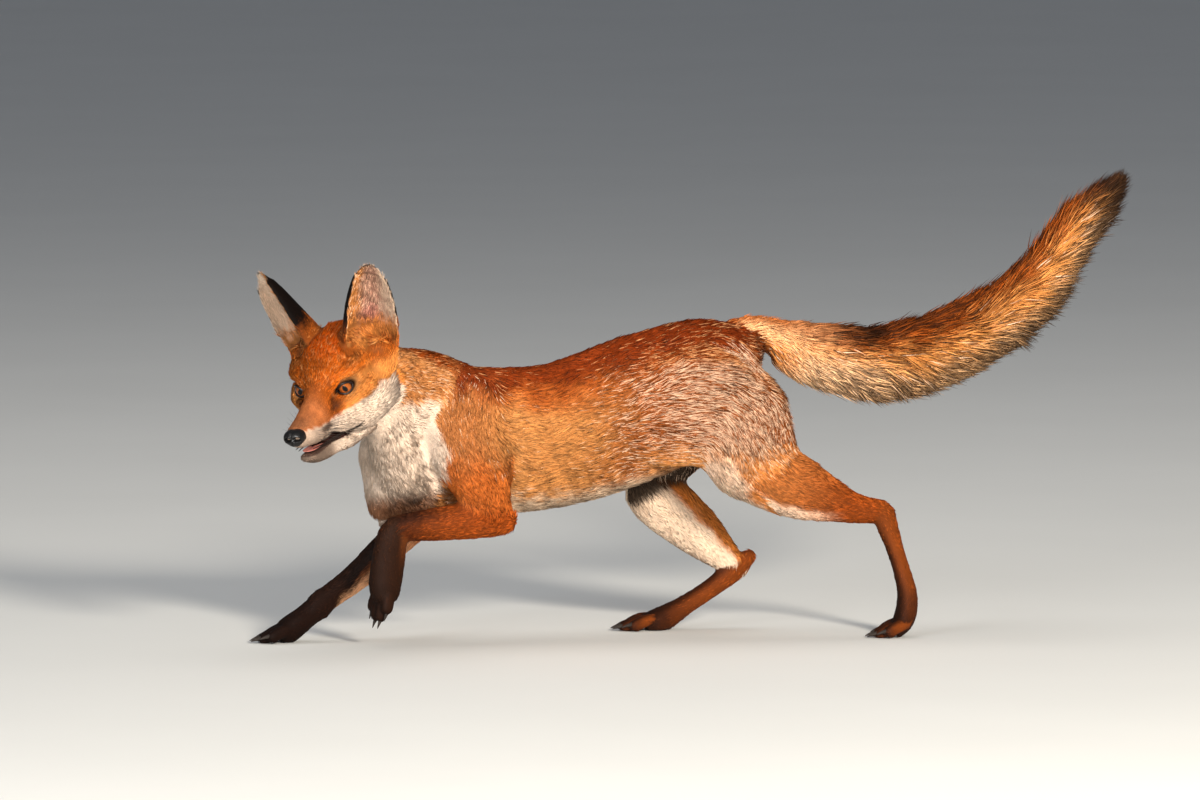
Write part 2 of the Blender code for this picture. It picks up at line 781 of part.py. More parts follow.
def centre_on_origin():
    """Moves all parts so that the middle of the underside of their common box is the origin."""
    solids = list(bpy.context.scene.collection.objects)
    spots = np.array([vertex.co for obj in solids for vertex in obj.data.vertices])
    low, high = spots.min(axis=0), spots.max(axis=0)
    middle = Vector(((low[0] + high[0]) / 2, (low[1] + high[1]) / 2, low[2]))
    for obj in solids:
        obj.data.transform(Matrix.Translation(-middle))


def build():
    clear_scene()
    parts = trunk_and_neck() + [loft("tail_loft", TAIL, steps=4)]
    parts += left_foreleg() + right_foreleg() + left_hindleg() + right_hindleg()
    for name in PAWS:
        parts += toes(name)
    body = melt("body", parts + head_lofts(), BODY_TRIANGLES)
    floor = box_above("floor", SOLE_LEVEL)
    boolean(body, "INTERSECT", floor)
    bpy.data.objects.remove(floor)
    for side in (1, -1):
        take_away(ear(side), body)
    for name, (lofts, paw, middle_cut, lower_cut) in LEGS.items():
        words = LEG_NAMES[name.split("_")[0]]
        leg = part_off_leg(body, f"{name}_{words[0]}", lofts() + toes(paw), "rust")
        part_off(leg, f"{name}_{words[1]}", *middle_cut, "rust")
        lower = bpy.data.objects[f"{name}_{words[1]}"]
        foot = part_off(lower, f"{name}_{words[2]}", *lower_cut, "black")
        add_claws(foot, paw)
    tail = part_off(body, "tail_base", *TAIL_BASE_CUT, "brush")
    middle = part_off(tail, "tail_middle", *TAIL_MIDDLE_CUT, "brush")
    part_off(middle, "tail_tip", *TAIL_TIP_CUT, "black")
    neck = part_off(body, "neck", *NECK_CUT, "rust")
    body.name = "trunk"
    ahead = HEAD.to_3x3() @ Vector((1, 0, 0))
    head = part_off(neck, "head", HEAD @ Vector((-HEAD_CUT_DEPTH, 0, 0)), ahead, "rust")
    lower_jaw, lolling_tongue, pad = jaw(), tongue(), nose()
    take_away(lolling_tongue, lower_jaw)
    for solid in (lower_jaw, lolling_tongue, pad):
        take_away(head, solid)
        take_away(neck, solid)
    for side in (1, -1):
        eyeball, opening = eye(side), lid_opening(side)
        take_away(head, eyeball)
        boolean(head, "DIFFERENCE", opening)
        bpy.data.objects.remove(opening)
    centre_on_origin()


build()
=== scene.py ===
import math

import bmesh
import bpy
import numpy as np
from mathutils import Matrix, Vector


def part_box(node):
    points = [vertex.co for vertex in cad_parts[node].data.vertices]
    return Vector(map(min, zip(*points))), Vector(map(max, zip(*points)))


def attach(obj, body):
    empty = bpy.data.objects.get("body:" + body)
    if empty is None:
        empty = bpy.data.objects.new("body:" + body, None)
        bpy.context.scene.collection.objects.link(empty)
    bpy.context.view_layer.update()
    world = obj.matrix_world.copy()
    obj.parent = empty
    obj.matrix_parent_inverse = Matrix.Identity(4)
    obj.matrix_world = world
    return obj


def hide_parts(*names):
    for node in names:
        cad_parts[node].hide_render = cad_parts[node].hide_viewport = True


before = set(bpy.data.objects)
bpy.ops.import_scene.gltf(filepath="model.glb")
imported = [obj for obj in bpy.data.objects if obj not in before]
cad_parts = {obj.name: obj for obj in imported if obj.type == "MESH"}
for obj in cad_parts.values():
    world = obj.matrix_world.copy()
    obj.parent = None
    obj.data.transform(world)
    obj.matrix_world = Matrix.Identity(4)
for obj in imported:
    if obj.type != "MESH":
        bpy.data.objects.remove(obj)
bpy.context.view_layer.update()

# ------------------------------------------------------------------ 1. hide
# The fox's hide, one closed skin over trunk, neck, head, ears, brush and legs: tubes of flesh, carried along
# spine and limbs, are melted together and smoothed. It lies inside the coat's outline by the fur's depth, and
# the fur stands on it as separate tufts.

MM = 0.001
SIDES = {1: "left", -1: "right"}
HEAD_YAW, HEAD_PITCH, HEAD_ROLL = 52.0, 19.0, -6.0
EYES_MIDDLE = np.array([-260.4, -94.7, 256.1])
EYE_CENTRE = np.array([-7.0, 22.8, 0.0])
HIDE_VOXEL, HIDE_TRIANGLES = 1.4, 150000
LIMB_SMOOTHING, HEAD_SMOOTHING, FINE_SMOOTHING = 110, 14, 4
HIDE_CLEARANCE, FUR_CLEARANCE = 0.0004, 0.0003  # least height over the floor, in metres


def turn_about(axis, degrees):
    return np.array(Matrix.Rotation(math.radians(degrees), 3, axis))


LOOK_BACK = np.diag([-1.0, -1.0, 1.0])
HEAD_NOD = turn_about("Y", HEAD_PITCH) @ turn_about("X", -HEAD_ROLL)
HEAD_TURN = turn_about("Z", HEAD_YAW) @ LOOK_BACK @ HEAD_NOD


def from_head(spots):
    """Points (forward, left, up) of the head, from between the eyes, as the fox's own, in millimetres."""
    return EYES_MIDDLE + np.asarray(spots, float) @ HEAD_TURN.T


def to_head(spots):
    return (spots - EYES_MIDDLE) @ HEAD_TURN


# Where the fox's own millimetre frame lies in the frame of the solids, told by the left eyeball's middle.
ORIGIN = np.mean(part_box("eye_left"), axis=0) - from_head(EYE_CENTRE) * MM


def to_row(spots):
    return np.asarray(spots) * MM + ORIGIN


def smooth_rows(rows, steps):
    """Catmull-Rom curve through rows of numbers: each span is a cubic blend of the four rows round it."""
    rows = np.asarray(rows, float)
    padded = np.vstack([2 * rows[0] - rows[1], rows, 2 * rows[-1] - rows[-2]])
    a, b, c, d = (padded[i : len(padded) - 3 + i, None] for i in range(4))
    t = (np.arange(steps) / steps)[None, :, None]
    spans = 2 * b + (c - a) * t + (2 * a - 5 * b + 4 * c - d) * t**2 + (3 * b - a - 3 * c + d) * t**3
    return np.vstack([0.5 * spans.reshape(-1, rows.shape[1]), rows[-1]])


def unit(vectors):
    return vectors / np.maximum(np.linalg.norm(vectors, axis=-1, keepdims=True), 1e-9)


def circle(count):
    """Cosine and sine of evenly spread angles, once round."""
    turn = np.linspace(0, 2 * math.pi, count, endpoint=False)
    return np.cos(turn), np.sin(turn)


def power(wave, exponent):
    """A sine or cosine raised to a power with its sign kept, which fills out or pinches a ring."""
    return np.sign(wave) * np.abs(wave) ** exponent


TUBES = []  # every length of flesh, from which the hide is melted and which the coat's lie and colours follow


def flesh(part, stations, depth, lie=1, across=(0.0, 1.0, 0.0), fullness=2.1, steps=6, sides=36, comb=True):
    """Carries a superellipse along stations (x, y, z, half width, front, back), all at the coat's outside.

    A ring's width runs along `across`, and its front is across x path. The flesh is `depth` inside the coat.
    Hair points along the path where `lie` is 1 and against it where it is -1, and `comb` says if it counts.
    """
    depth = np.broadcast_to(depth, len(stations))
    rows = smooth_rows(np.column_stack([np.asarray(stations, float), depth]), steps)
    centres, deep = rows[:, :3], rows[:, 6:]
    outer = np.maximum(rows[:, 3:6], 1.2)
    along = unit(np.gradient(centres, axis=0))
    side = unit(np.asarray(across) - along * (along @ np.asarray(across))[:, None])
    face = np.cross(side, along)
    inner = outer - np.minimum(deep, 0.5 * outer)
    cosine, sine = circle(sides)
    wide = inner[:, :1] * power(cosine, 2 / fullness)
    high = np.where(sine > 0, inner[:, 1:2], inner[:, 2:]) * power(sine, 2 / fullness)
    rings = centres[:, None] + side[:, None] * wide[..., None] + face[:, None] * high[..., None]
    TUBES.append(
        dict(part=part, rings=rings, centres=centres, along=along * lie, side=side, face=face, outer=outer,
             comb=comb, t=np.linspace(0, 1, len(rows)))
    )


def head_flesh(part, rows, depth, **options):
    """The same for stations written as (forward, left, up, half width, up, down) on the head."""
    rows = np.asarray(rows, float)
    rows = np.column_stack([from_head(rows[:, :3]), rows[:, 3:]])
    flesh(part, rows, depth, across=tuple(HEAD_TURN @ (0.0, 1.0, 0.0)), **options)


TRUNK = [  # rump to breast
    (181, 0, 258, 20, 26, 26), (172, 0, 260, 36, 42, 48), (160, 0, 258, 47, 51, 66),
    (130, 0, 252, 52, 60, 78), (95, 0, 243, 49, 62.5, 78), (60, 0, 232, 47.5, 64, 80),
    (20, 0, 217, 49.5, 64.5, 79), (-20, 0, 205, 53, 66, 76), (-60, 0, 200, 53, 69, 75),
    (-100, 0, 198, 51, 72, 71), (-135, 0, 192, 47, 72, 62), (-162, -4, 174, 42, 56, 61),
    (-175, -8, 159, 37, 37, 53), (-185, -11, 144, 28, 21, 41), (-191, -12, 131, 15, 10, 26),
]
NECK = [
    (-85, 0, 205, 40, 56, 60), (-120, -4, 220, 43, 57, 62), (-150, -12, 236, 43, 53, 60),
    (-178, -26, 243, 40, 50, 48), (-203, -42, 253, 38, 46, 38), (-224, -60, 257, 34, 36, 28),
]
FOLD = [  # throat to breast
    (-203, -62, 243, 18, 18, 18), (-190, -48, 216, 21, 21, 24), (-178, -34, 191, 27, 27, 28),
    (-167, -20, 166, 33, 31, 30), (-158, -10, 146, 26, 22, 22),
]
TAIL = [  # tip to root
    (549, 16, 436, 1, 1, 1), (542, 16, 431, 9, 10, 9), (533, 16, 423, 14, 15, 16),
    (518, 15, 408, 18, 20, 23), (498, 14, 388, 22, 23, 27), (473, 12, 355, 26, 26, 31),
    (444, 10, 323, 30, 32, 37), (407, 8, 298, 34, 37, 39), (368, 6, 279, 36, 40, 41),
    (329, 4, 268, 36, 41, 41), (290, 2, 265, 34, 39, 39), (250, 1, 272, 29, 35, 35),
    (217, 0, 282, 22, 27, 28), (191, 0, 292, 17, 20, 18), (165, 0, 293, 17, 19, 18),
    (145, 0, 286, 14, 14, 14),
]
flesh("trunk", TRUNK, 3.2, lie=-1, fullness=2.15, sides=64)
for side in SIDES:
    flank = [  # thigh to ribs: the fold that carries the flank's skin over onto the thigh
        (172, side * 46, 232, 18, 40, 50), (140, side * 47, 232, 24, 54, 66),
        (105, side * 44, 231, 24, 56, 63), (65, side * 34, 222, 23, 48, 54),
        (20, side * 24, 214, 18, 34, 32),
    ]
    flesh("trunk", flank, 3.5, lie=-1, sides=40)
flesh("neck", NECK, 3.5, lie=-1, sides=56)
flesh("neck", FOLD, 3.5, sides=40)
flesh("tail", TAIL, [0.5, 5, 7, 9, 10, 11, 12.5, 13, 13, 13, 12, 9, 6.5, 4, 3.5, 3.5], lie=-1, sides=48)

LEGS = {
    "fl": {
        "upper": [
            (-90, -26, 248, 8, 18, 20), (-104, -36, 238, 16, 34, 34), (-112, -42, 212, 19, 38, 40),
            (-108, -47, 184, 20, 36, 42), (-97, -50, 158, 19, 30, 33), (-86, -52, 137, 17, 24, 22),
            (-80, -52, 124, 13, 16, 14),
        ],
        "middle": [
            (-63, -52, 124, 9, 8, 8), (-70, -52, 125, 13, 14, 15), (-84, -52, 127, 16, 19, 20),
            (-110, -51, 126, 16, 19, 21), (-135, -50, 124, 15, 18, 20), (-160, -48, 121, 13.5, 16, 17),
            (-180, -46, 119, 13, 14, 14), (-190, -45, 117, 8, 8, 8),
        ],
        "paw": [
            (-180, -45, 127, 8, 8, 8), (-181, -45, 118, 13, 14.5, 15), (-183, -45, 104, 14, 17.5, 16),
            (-186, -45, 86, 14.5, 18, 17), (-189, -44, 66, 16.5, 17.5, 17), (-190, -44, 52, 15, 13.5, 14),
            (-190, -44, 46, 8, 7, 7),
        ],
        "root": (-190, -44, 60),
        "tip": (-196, -43, 29),
        "across": (0.35, -0.94, 0),
    },
    "fr": {
        "upper": [
            (-106, 26, 248, 8, 18, 20), (-128, 35, 238, 16, 34, 34), (-150, 40, 212, 19, 38, 40),
            (-156, 42, 182, 20, 34, 40), (-149, 42, 154, 18, 36, 30), (-147, 41, 134, 17, 37, 24),
            (-146, 40, 117, 15, 35, 16),
        ],
        "middle": [
            (-122, 42, 128, 9, 8, 8), (-132, 41, 124, 15, 19, 19), (-150, 38, 111, 16, 20, 20),
            (-176, 32, 90, 15, 17, 18.5), (-203, 25, 68, 13.5, 14.5, 16.5), (-227, 18, 52, 13, 13, 15),
            (-240, 15, 43, 12.5, 14, 14), (-248, 14, 38, 8, 8, 8),
        ],
        "paw": [
            (-226, 17, 52, 8, 8, 8), (-238, 15, 43, 12.5, 14, 14), (-252, 13, 34, 14, 13, 14),
            (-264, 11, 26, 16, 12, 15), (-276, 10, 18, 17, 11, 16), (-284, 9, 14, 13, 7, 12),
        ],
        "root": (-272, 10, 19),
        "tip": (-303, 7, 8),
        "across": (0.05, 1, 0),
    },
    "hl": {
        "upper": [
            (146, -26, 284, 9, 24, 14), (150, -37, 268, 20, 44, 27), (153, -44, 240, 24, 50, 46),
            (158, -49, 212, 26, 52, 49), (166, -53, 186, 25, 52, 48), (174, -55, 162, 22, 42, 42),
            (180, -56, 144, 14, 22, 26),
        ],
        "middle": [
            (150, -55, 164, 14, 12, 16), (165, -56, 160, 20, 24, 28), (190, -58, 152, 21, 27, 43),
            (214, -60, 145, 19, 27, 39), (239, -61, 139, 16, 23.5, 27), (262, -62, 132, 13.5, 18, 18.5),
            (282, -62, 128, 12, 14.5, 15), (296, -62, 128, 11, 12, 13), (303, -62, 128, 6, 6, 6),
        ],
        "paw": [
            (293, -62, 138, 7, 7, 6), (294, -62, 128, 11, 13, 12), (298, -62, 112, 11, 11.5, 12),
            (305, -63, 92, 10.5, 10, 10), (312, -64, 70, 11.5, 10, 9.5), (317, -65, 50, 14, 11, 10.5),
            (316, -66, 34, 16, 11, 12), (311, -66, 20, 15, 10, 12), (303, -66, 10, 11, 7, 9),
        ],
        "root": (311, -66, 18),
        "tip": (284, -67, 7.5),
        "across": (0, 1, 0),
    },
    "hr": {
        "upper": [
            (146, 26, 284, 9, 24, 14), (142, 37, 268, 20, 42, 34), (132, 44, 240, 24, 48, 50),
            (118, 49, 212, 25, 48, 50), (102, 53, 187, 22, 42, 48), (88, 55, 166, 19, 30, 38),
            (78, 56, 150, 13, 16, 22),
        ],
        "middle": [
            (70, 56, 164, 10, 10, 12), (82, 56, 155, 18, 27, 26), (100, 55, 137, 20, 34, 29),
            (122, 54, 116, 18, 32, 27), (144, 52, 95, 15, 26, 23), (163, 51, 76, 12.5, 18, 17),
            (176, 50, 65, 11.5, 13, 13), (184, 50, 58, 6, 6, 6),
        ],
        "paw": [
            (192, 50, 80, 6, 5, 5), (186, 50, 74, 10, 9, 9), (172, 50, 61, 12, 13, 11.5),
            (150, 49, 45, 11.5, 11, 10.5), (126, 48, 31, 12.5, 10.5, 11), (106, 47, 21, 15, 11, 15),
            (92, 47, 15, 17, 11, 16), (83, 47, 12, 13, 7, 12),
        ],
        "root": (90, 47, 17),
        "tip": (58, 45, 8),
        "across": (0, 1, 0),
    },
}
TOE_SPREAD, TOE_RADIUS, OUTER_TOE_SHORT = 8.6, 6.6, 8.0
PAW_DEPTH, TOE_DEPTH = 1.4, 0.9


def toe_places(leg):
    """Root and tip of the four toes of a paw, the two outer ones set back."""
    across = unit(np.array(leg["across"], float))
    root, tip = np.array(leg["root"], float), np.array(leg["tip"], float)
    ahead = unit(tip - root)
    for place in (-1.5, -0.5, 0.5, 1.5):
        back = OUTER_TOE_SHORT if abs(place) > 1 else 0.0
        yield (
            root + across * TOE_SPREAD * place * 0.8 - ahead * back * 0.5,
            tip + across * TOE_SPREAD * place * 1.05 - ahead * back,
        )


for name, leg in LEGS.items():
    flesh(name + "_upper", leg["upper"], [3.2, 3.2, 3.2, 3.2, 3, 2.5, 2.2])
    flesh(name + "_middle", leg["middle"], np.linspace(3.2, 1.8, len(leg["middle"])))
    flesh(name + "_paw", leg["paw"], PAW_DEPTH)
    for root, tip in toe_places(leg):
        knuckle = (root + tip) / 2 + (0, 0, 1.5)
        toe = [
            (*root, 5, 5, 5),
            (*(0.4 * root + 0.6 * knuckle), 0.9 * TOE_RADIUS, TOE_RADIUS, TOE_RADIUS),
            (*knuckle, 0.92 * TOE_RADIUS, TOE_RADIUS, 1.1 * TOE_RADIUS),
            (*(0.3 * knuckle + 0.7 * tip), 0.9 * TOE_RADIUS, 0.85 * TOE_RADIUS, 1.1 * TOE_RADIUS),
            (*tip, 2.5, 2.5, 2.5),
        ]
        flesh(name + "_toe", toe, TOE_DEPTH, across=leg["across"], steps=4, sides=20)

SKULL = [  # nose to nape
    (72, 0, -19, 3, 3, 4), (70, 0, -19, 8, 7, 9), (64, 0, -19, 12, 10, 13), (52, 0, -20, 14.5, 12.5, 15.5),
    (38, 0, -20.5, 16.5, 15.5, 19), (24, 0, -18.5, 16.5, 19, 21.5), (12, 0, -14, 15, 20.5, 27),
    (0, 0, -8, 18.5, 25, 34), (-12, 0, -2, 30, 29, 40), (-26, 0, 2, 38, 34, 46), (-42, 0, 4, 41, 39, 48),
    (-58, 0, 4, 40, 42, 46), (-74, 0, 2, 35, 40, 42), (-90, 0, -2, 22, 23, 24),
]
head_flesh("head", SKULL, [0.5, 0.8, 1, 1, 1, 1, 1, 1.2, 1.4, 1.8, 2, 2.5, 3, 3.5], fullness=2.2, sides=64)
THROAT = [
    (8, 0, -48, 10, 6, 6), (-8, 0, -51, 22, 14, 13), (-28, 0, -49, 30, 20, 20), (-48, 0, -44, 32, 22, 24),
    (-66, 0, -38, 26, 18, 20),
]
head_flesh("head", THROAT, [3, 4, 5, 5.5, 6])
JAW = [
    (59, 0, -43.5, 5, 3, 4), (55, 0, -45, 8.5, 4.5, 5), (44, 0, -49, 11, 9.5, 7),
    (30, 0, -51.5, 14, 14, 7.5), (14, 0, -52, 17.5, 15, 8.5), (-4, 0, -54, 21, 13, 10),
    (-20, 0, -55, 21, 11, 10), (-28, 0, -54, 12, 5, 6),
]
head_flesh("jaw", JAW, [0.4, 0.6, 0.8, 1, 1.5, 2, 2, 2])
for side in SIDES:
    cheek = [
        (22, side * 10, -24, 6, 8, 9), (8, side * 16, -26, 9, 12, 16), (-8, side * 22, -26, 12, 16, 22),
        (-26, side * 29, -25, 15, 20, 26), (-42, side * 33, -22, 16, 21, 25),
        (-58, side * 33, -23, 16, 21, 24), (-74, side * 31, -26, 15, 20, 22),
        (-90, side * 24, -30, 8, 11, 12),
    ]
    brow = [
        (8, side * 10, 3, 4, 4, 4), (0, side * 18, 10.5, 6.5, 6, 5.5), (-12, side * 27.5, 14.5, 9, 7, 7),
        (-28, side * 33, 18, 9, 8, 10),
    ]
    ear_root = [
        (-46, side * 29, -6, 18, 16, 16), (-52, side * 36, 4, 23, 18, 19), (-56, side * 40, 13, 21, 15, 17),
        (-55, side * 43, 22, 14, 11, 12), (-54, side * 44.5, 28, 7, 5, 5),
    ]
    cheekbone = [
        (12, side * 12, -15, 5, 4, 6), (0, side * 22, -12, 9, 7, 9), (-14, side * 31, -9, 11, 9, 11),
        (-30, side * 34, -6, 10, 10, 11), (-42, side * 31, -6, 4, 5, 6),
    ]
    head_flesh("head", cheekbone, 1.2, sides=28)
    head_flesh("head", cheek, [1.2, 1.4, 2, 3, 3.5, 4, 4, 4])
    head_flesh("head", brow, 1.2, sides=24)
    head_flesh("head", ear_root, 3.0, comb=False)

EAR_BASE, EAR_TIP = np.array([-50.0, 34.0, 12.0]), np.array([-40.0, 61.5, 112.0])
EAR_TURN = {1: 40.0, -1: 30.0}
EAR_HALF_WIDTH = {1: 29.0, -1: 25.0}
EAR_DEPTH, EAR_THICKNESS = 18.0, 3.0
EAR_SWEEP = 105.0


def ear_frame(side):
    """Base, length and the three directions (axis, across, facing) of an ear, on the head."""
    base, tip = EAR_BASE * (1, side, 1), EAR_TIP * (1, side, 1)
    axis = unit(tip - base)
    turn = math.radians(EAR_TURN[side])
    facing = np.array([math.cos(turn), side * math.sin(turn), 0])
    facing = unit(facing - axis * (facing @ axis))
    return base, np.linalg.norm(tip - base), axis, np.cross(axis, facing), facing


def ear_sizes(side, t):
    """Half width and depth of the cup at height t: a half ellipse that fills out towards the root."""
    half_width = EAR_HALF_WIDTH[side] * np.sqrt(1 - t**2) * (0.92 + 0.08 * np.minimum(1, t / 0.2))
    return half_width, EAR_DEPTH * (np.sqrt(1 - t**2) + 0.7 * (1 - t) ** 2)


def ear_shell(side, rows=40, columns=36):
    """A cupped shell: at each height an arc of an ellipse, doubled inwards by the gristle's thickness."""
    base, length, axis, across, facing = ear_frame(side)
    t = 0.985 * (1 - (1 - np.linspace(0, 1, rows)) ** 1.4)
    place = np.linspace(-1, 1, columns)
    half_width, depth = (size[:, None] for size in ear_sizes(side, t))
    angle = np.radians(EAR_SWEEP) * place
    outward = across * (np.sin(angle) * half_width)[..., None] - facing * (np.cos(angle) * depth)[..., None]
    reach = np.linalg.norm(outward, axis=-1)
    sheet = EAR_THICKNESS * (1.1 - 0.1 * place**2) * np.minimum(1, 0.6 + half_width / 12)
    spine = base + axis * (t * length)[:, None]
    outer = spine[:, None] + outward * (1 - 0.5 / np.maximum(reach, 2))[..., None]
    inner = spine[:, None] + outward * (1 - sheet / np.maximum(reach, sheet * 1.5))[..., None]
    rings = from_head(np.concatenate([outer, inner[:, ::-1]], axis=1))
    sizes = np.maximum(np.column_stack([half_width, depth, depth]), 1.5)
    ways = [np.broadcast_to(HEAD_TURN @ way, (rows, 3)) for way in (axis, across, facing)]
    TUBES.append(
        dict(part="ear_" + SIDES[side], rings=rings, centres=from_head(spine), outer=sizes,
             along=ways[0], side=ways[1], face=ways[2], comb=True, t=t, shell=columns)
    )


ear_shell(1)
ear_shell(-1)


def grid_faces(rows, columns):
    """Quads between neighbouring rings of points."""
    i, j = np.meshgrid(np.arange(rows - 1), np.arange(columns), indexing="ij")
    low, high = i * columns, (i + 1) * columns
    k = (j + 1) % columns
    return np.stack([low + j, low + k, high + k, high + j], -1).reshape(-1, 4)


def closed(rings, shell=0):
    """Points and faces of a stack of rings, each end closed by a fan, or across a shell by a ladder."""
    rows, columns = rings.shape[:2]
    points, faces = rings.reshape(-1, 3), grid_faces(rows, columns).tolist()
    if shell:
        near = np.arange(shell - 1)
        for start in (0, (rows - 1) * columns):
            far = columns - 1 - near
            faces += (start + np.stack([near, near + 1, far - 1, far], axis=-1)).tolist()
        return points, faces
    spot = np.arange(columns)
    for start, pole in ((0, len(points)), ((rows - 1) * columns, len(points) + 1)):
        faces += np.stack([start + spot, start + np.roll(spot, -1), np.full(columns, pole)], -1).tolist()
    return np.concatenate([points, rings[[0, -1]].mean(axis=1)]), faces


def joined(lumps):
    """The points and faces of many lumps as those of one."""
    points, faces, count = [], [], 0
    for own, own_faces in lumps:
        points.append(own)
        faces += [[index + count for index in face] for face in own_faces]
        count += len(own)
    return np.vstack(points), faces


def mesh_piece(name, points, faces):
    mesh = bpy.data.meshes.new(name)
    mesh.from_pydata(points, [], faces)
    mesh.update()
    piece = bpy.data.objects.new(name, mesh)
    bpy.context.scene.collection.objects.link(piece)
    return piece


def bake_modifiers(piece):
    """Puts what the modifiers make in place of the piece's mesh."""
    graph = bpy.context.evaluated_depsgraph_get()
    graph.update()
    made = bpy.data.meshes.new_from_object(piece.evaluated_get(graph))
    piece.modifiers.clear()
    piece.data = made


def outward(piece):
    """Recalculates the normals of a closed mesh so that they point outwards."""
    edit = bmesh.new()
    edit.from_mesh(piece.data)
    bmesh.ops.recalc_face_normals(edit, faces=edit.faces)
    edit.to_mesh(piece.data)
    edit.free()


def read_all(items, key, width=3):
    """What every vertex, edge or triangle of a mesh has under a key, as one array."""
    counts = key == "vertices"
    found = np.empty(len(items) * width, np.int32 if counts else np.float32)
    items.foreach_get(key, found)
    return found.reshape(-1, width).astype(int if counts else float)


def spots_of(piece):
    """The piece's points in the fox's own millimetre frame."""
    return (read_all(piece.data.vertices, "co") - ORIGIN) / MM


def put_points(mesh, points):
    mesh.vertices.foreach_set("co", np.ascontiguousarray(points, np.float32).reshape(-1))
    mesh.update()


def melted_hide():
    points, faces = joined(closed(tube["rings"], tube.get("shell", 0)) for tube in TUBES)
    piece = mesh_piece("hide", to_row(points), faces)
    outward(piece)
    remesh = piece.modifiers.new("melt", "REMESH")
    remesh.mode, remesh.voxel_size = "VOXEL", HIDE_VOXEL * MM
    bake_modifiers(piece)
    return piece


def soften_limbs(piece):
    """Draws each point towards its neighbours' mean: many rounds on the trunk, few on face, ears and toes."""
    edges = read_all(piece.data.edges, "vertices", 2)
    one, other = edges.T
    points = read_all(piece.data.vertices, "co")
    spots = spots_of(piece)
    head = to_head(spots)
    reach = np.linalg.norm(head - (-20, 0, -20), axis=1)
    rounds = np.interp(reach, [75, 120], [HEAD_SMOOTHING, LIMB_SMOOTHING])
    rounds = np.maximum(rounds, np.interp(-head[:, 0], [34, 58], [0, 90]))
    low = np.clip((150 - spots[:, 2]) / 30, 0, 1) * (spots[:, 0] > -250)
    rounds = np.minimum(rounds, LIMB_SMOOTHING + (20 - LIMB_SMOOTHING) * low)
    ears, toes = (head[:, 2] > 36) & (reach < 130), spots[:, 2] < 32
    raised_toes = (spots[:, 2] < 70) & (np.abs(spots[:, 0] + 193) < 18)
    rounds = np.where(ears | toes | raised_toes, FINE_SMOOTHING, rounds)
    muzzle = (head[:, 0] > 25) & (reach < 110)
    rounds = np.where(muzzle, FINE_SMOOTHING + 2, rounds)
    count = np.bincount(edges.reshape(-1), minlength=len(points))[:, None]
    for turn in range(LIMB_SMOOTHING):
        total = np.empty_like(points)
        for axis in range(3):
            total[:, axis] = np.bincount(one, points[other, axis], len(points))
            total[:, axis] += np.bincount(other, points[one, axis], len(points))
        share = 0.5 * np.clip(rounds - turn, 0, 1)
        points += (total / count - points) * share[:, None]
    put_points(piece.data, points)


def thin_away_from_head(piece, wanted):
    """Thins the mesh to the wanted triangles, least on the face, where the form is fine."""
    away = np.linalg.norm(to_head(spots_of(piece)) - (5, 0, -20), axis=1)
    keep = np.clip(1.25 - away / 90, 0, 1)
    group = piece.vertex_groups.new(name="thin")
    for i, share in enumerate(np.round((1 - keep) * 10).astype(int)):
        group.add([i], share / 10, "REPLACE")
    thin = piece.modifiers.new("thin", "DECIMATE")
    thin.ratio = wanted / (2 * len(piece.data.polygons))
    thin.vertex_group = "thin"
    bake_modifiers(piece)


EYE_RADIUS, EYE_TURN = 8.2, 24.0
LID_TILT, LID_LONG, LID_HIGH, LID_SHEET = 14.0, 8.2, 5.4, 1.0


def eye_ways(side):
    """An eye's middle and its directions on the head: outlook, outer corner and up, tilted like the lids."""
    turn, tilt = side * math.radians(EYE_TURN), math.radians(LID_TILT)
    look = np.array([math.cos(turn), math.sin(turn), 0.0])
    level = np.array([-math.sin(turn), math.cos(turn), 0.0]) * side
    upright = np.array([0, 0, 1.0])
    outer = math.cos(tilt) * level + math.sin(tilt) * upright
    up = -math.sin(tilt) * level + math.cos(tilt) * upright
    return EYE_CENTRE * (1, side, 1), np.stack([look, outer, up])


def lid_opening(outer, up):
    """Half length and half height of the lids' opening, drawn out to a narrow inner corner, flatter below."""
    length = np.where(outer > 0, LID_LONG * 0.96, LID_LONG * 1.12)
    pinch = 1 - 0.42 * np.clip(-outer / LID_LONG, 0, 1) ** 1.5
    return length, LID_HIGH * np.where(up > 0, 1.0, 0.92) * pinch


def almond(outer, up):
    """1 on the rim of the lids' opening, less inside it and more outside."""
    length, height = lid_opening(outer, up)
    return np.sqrt((outer / length) ** 2 + (up / height) ** 2)


def set_eyes(piece):
    """Inside the almond the skin lies behind the eyeball; round it, a lid's thickness over the ball."""
    head = to_head(spots_of(piece))
    for side in SIDES:
        centre, ways = eye_ways(side)
        ahead, outer, up = ((head - centre) @ ways.T).T
        rim = almond(outer, up)
        near = (ahead > -6) & (rim < 2.4)
        reach = np.hypot(outer, up)
        ball = np.sqrt(np.clip(EYE_RADIUS**2 - reach**2, 0, None))
        hugging = np.clip((2.1 - rim) / 0.9, 0, 1) * np.clip((EYE_RADIUS + 4 - reach) / 4, 0, 1)
        over = ahead + (ball + LID_SHEET - ahead) * hugging
        ahead = np.where(near & (rim >= 1), over, ahead)
        ahead = np.where(near & (rim < 1), np.minimum(ahead, ball - 2.2 - 2 * (1 - rim)), ahead)
        head = np.where(near[:, None], np.stack([ahead, outer, up], axis=1) @ ways + centre, head)
    put_points(piece.data, to_row(from_head(head)))


def keep_over_floor(piece):
    """Presses the undersides of the standing feet flat just over the floor."""
    points = read_all(piece.data.vertices, "co")
    points[:, 2] = np.maximum(points[:, 2], HIDE_CLEARANCE)
    put_points(piece.data, points)


hide = melted_hide()
soften_limbs(hide)
set_eyes(hide)
thin_away_from_head(hide, HIDE_TRIANGLES)
keep_over_floor(hide)


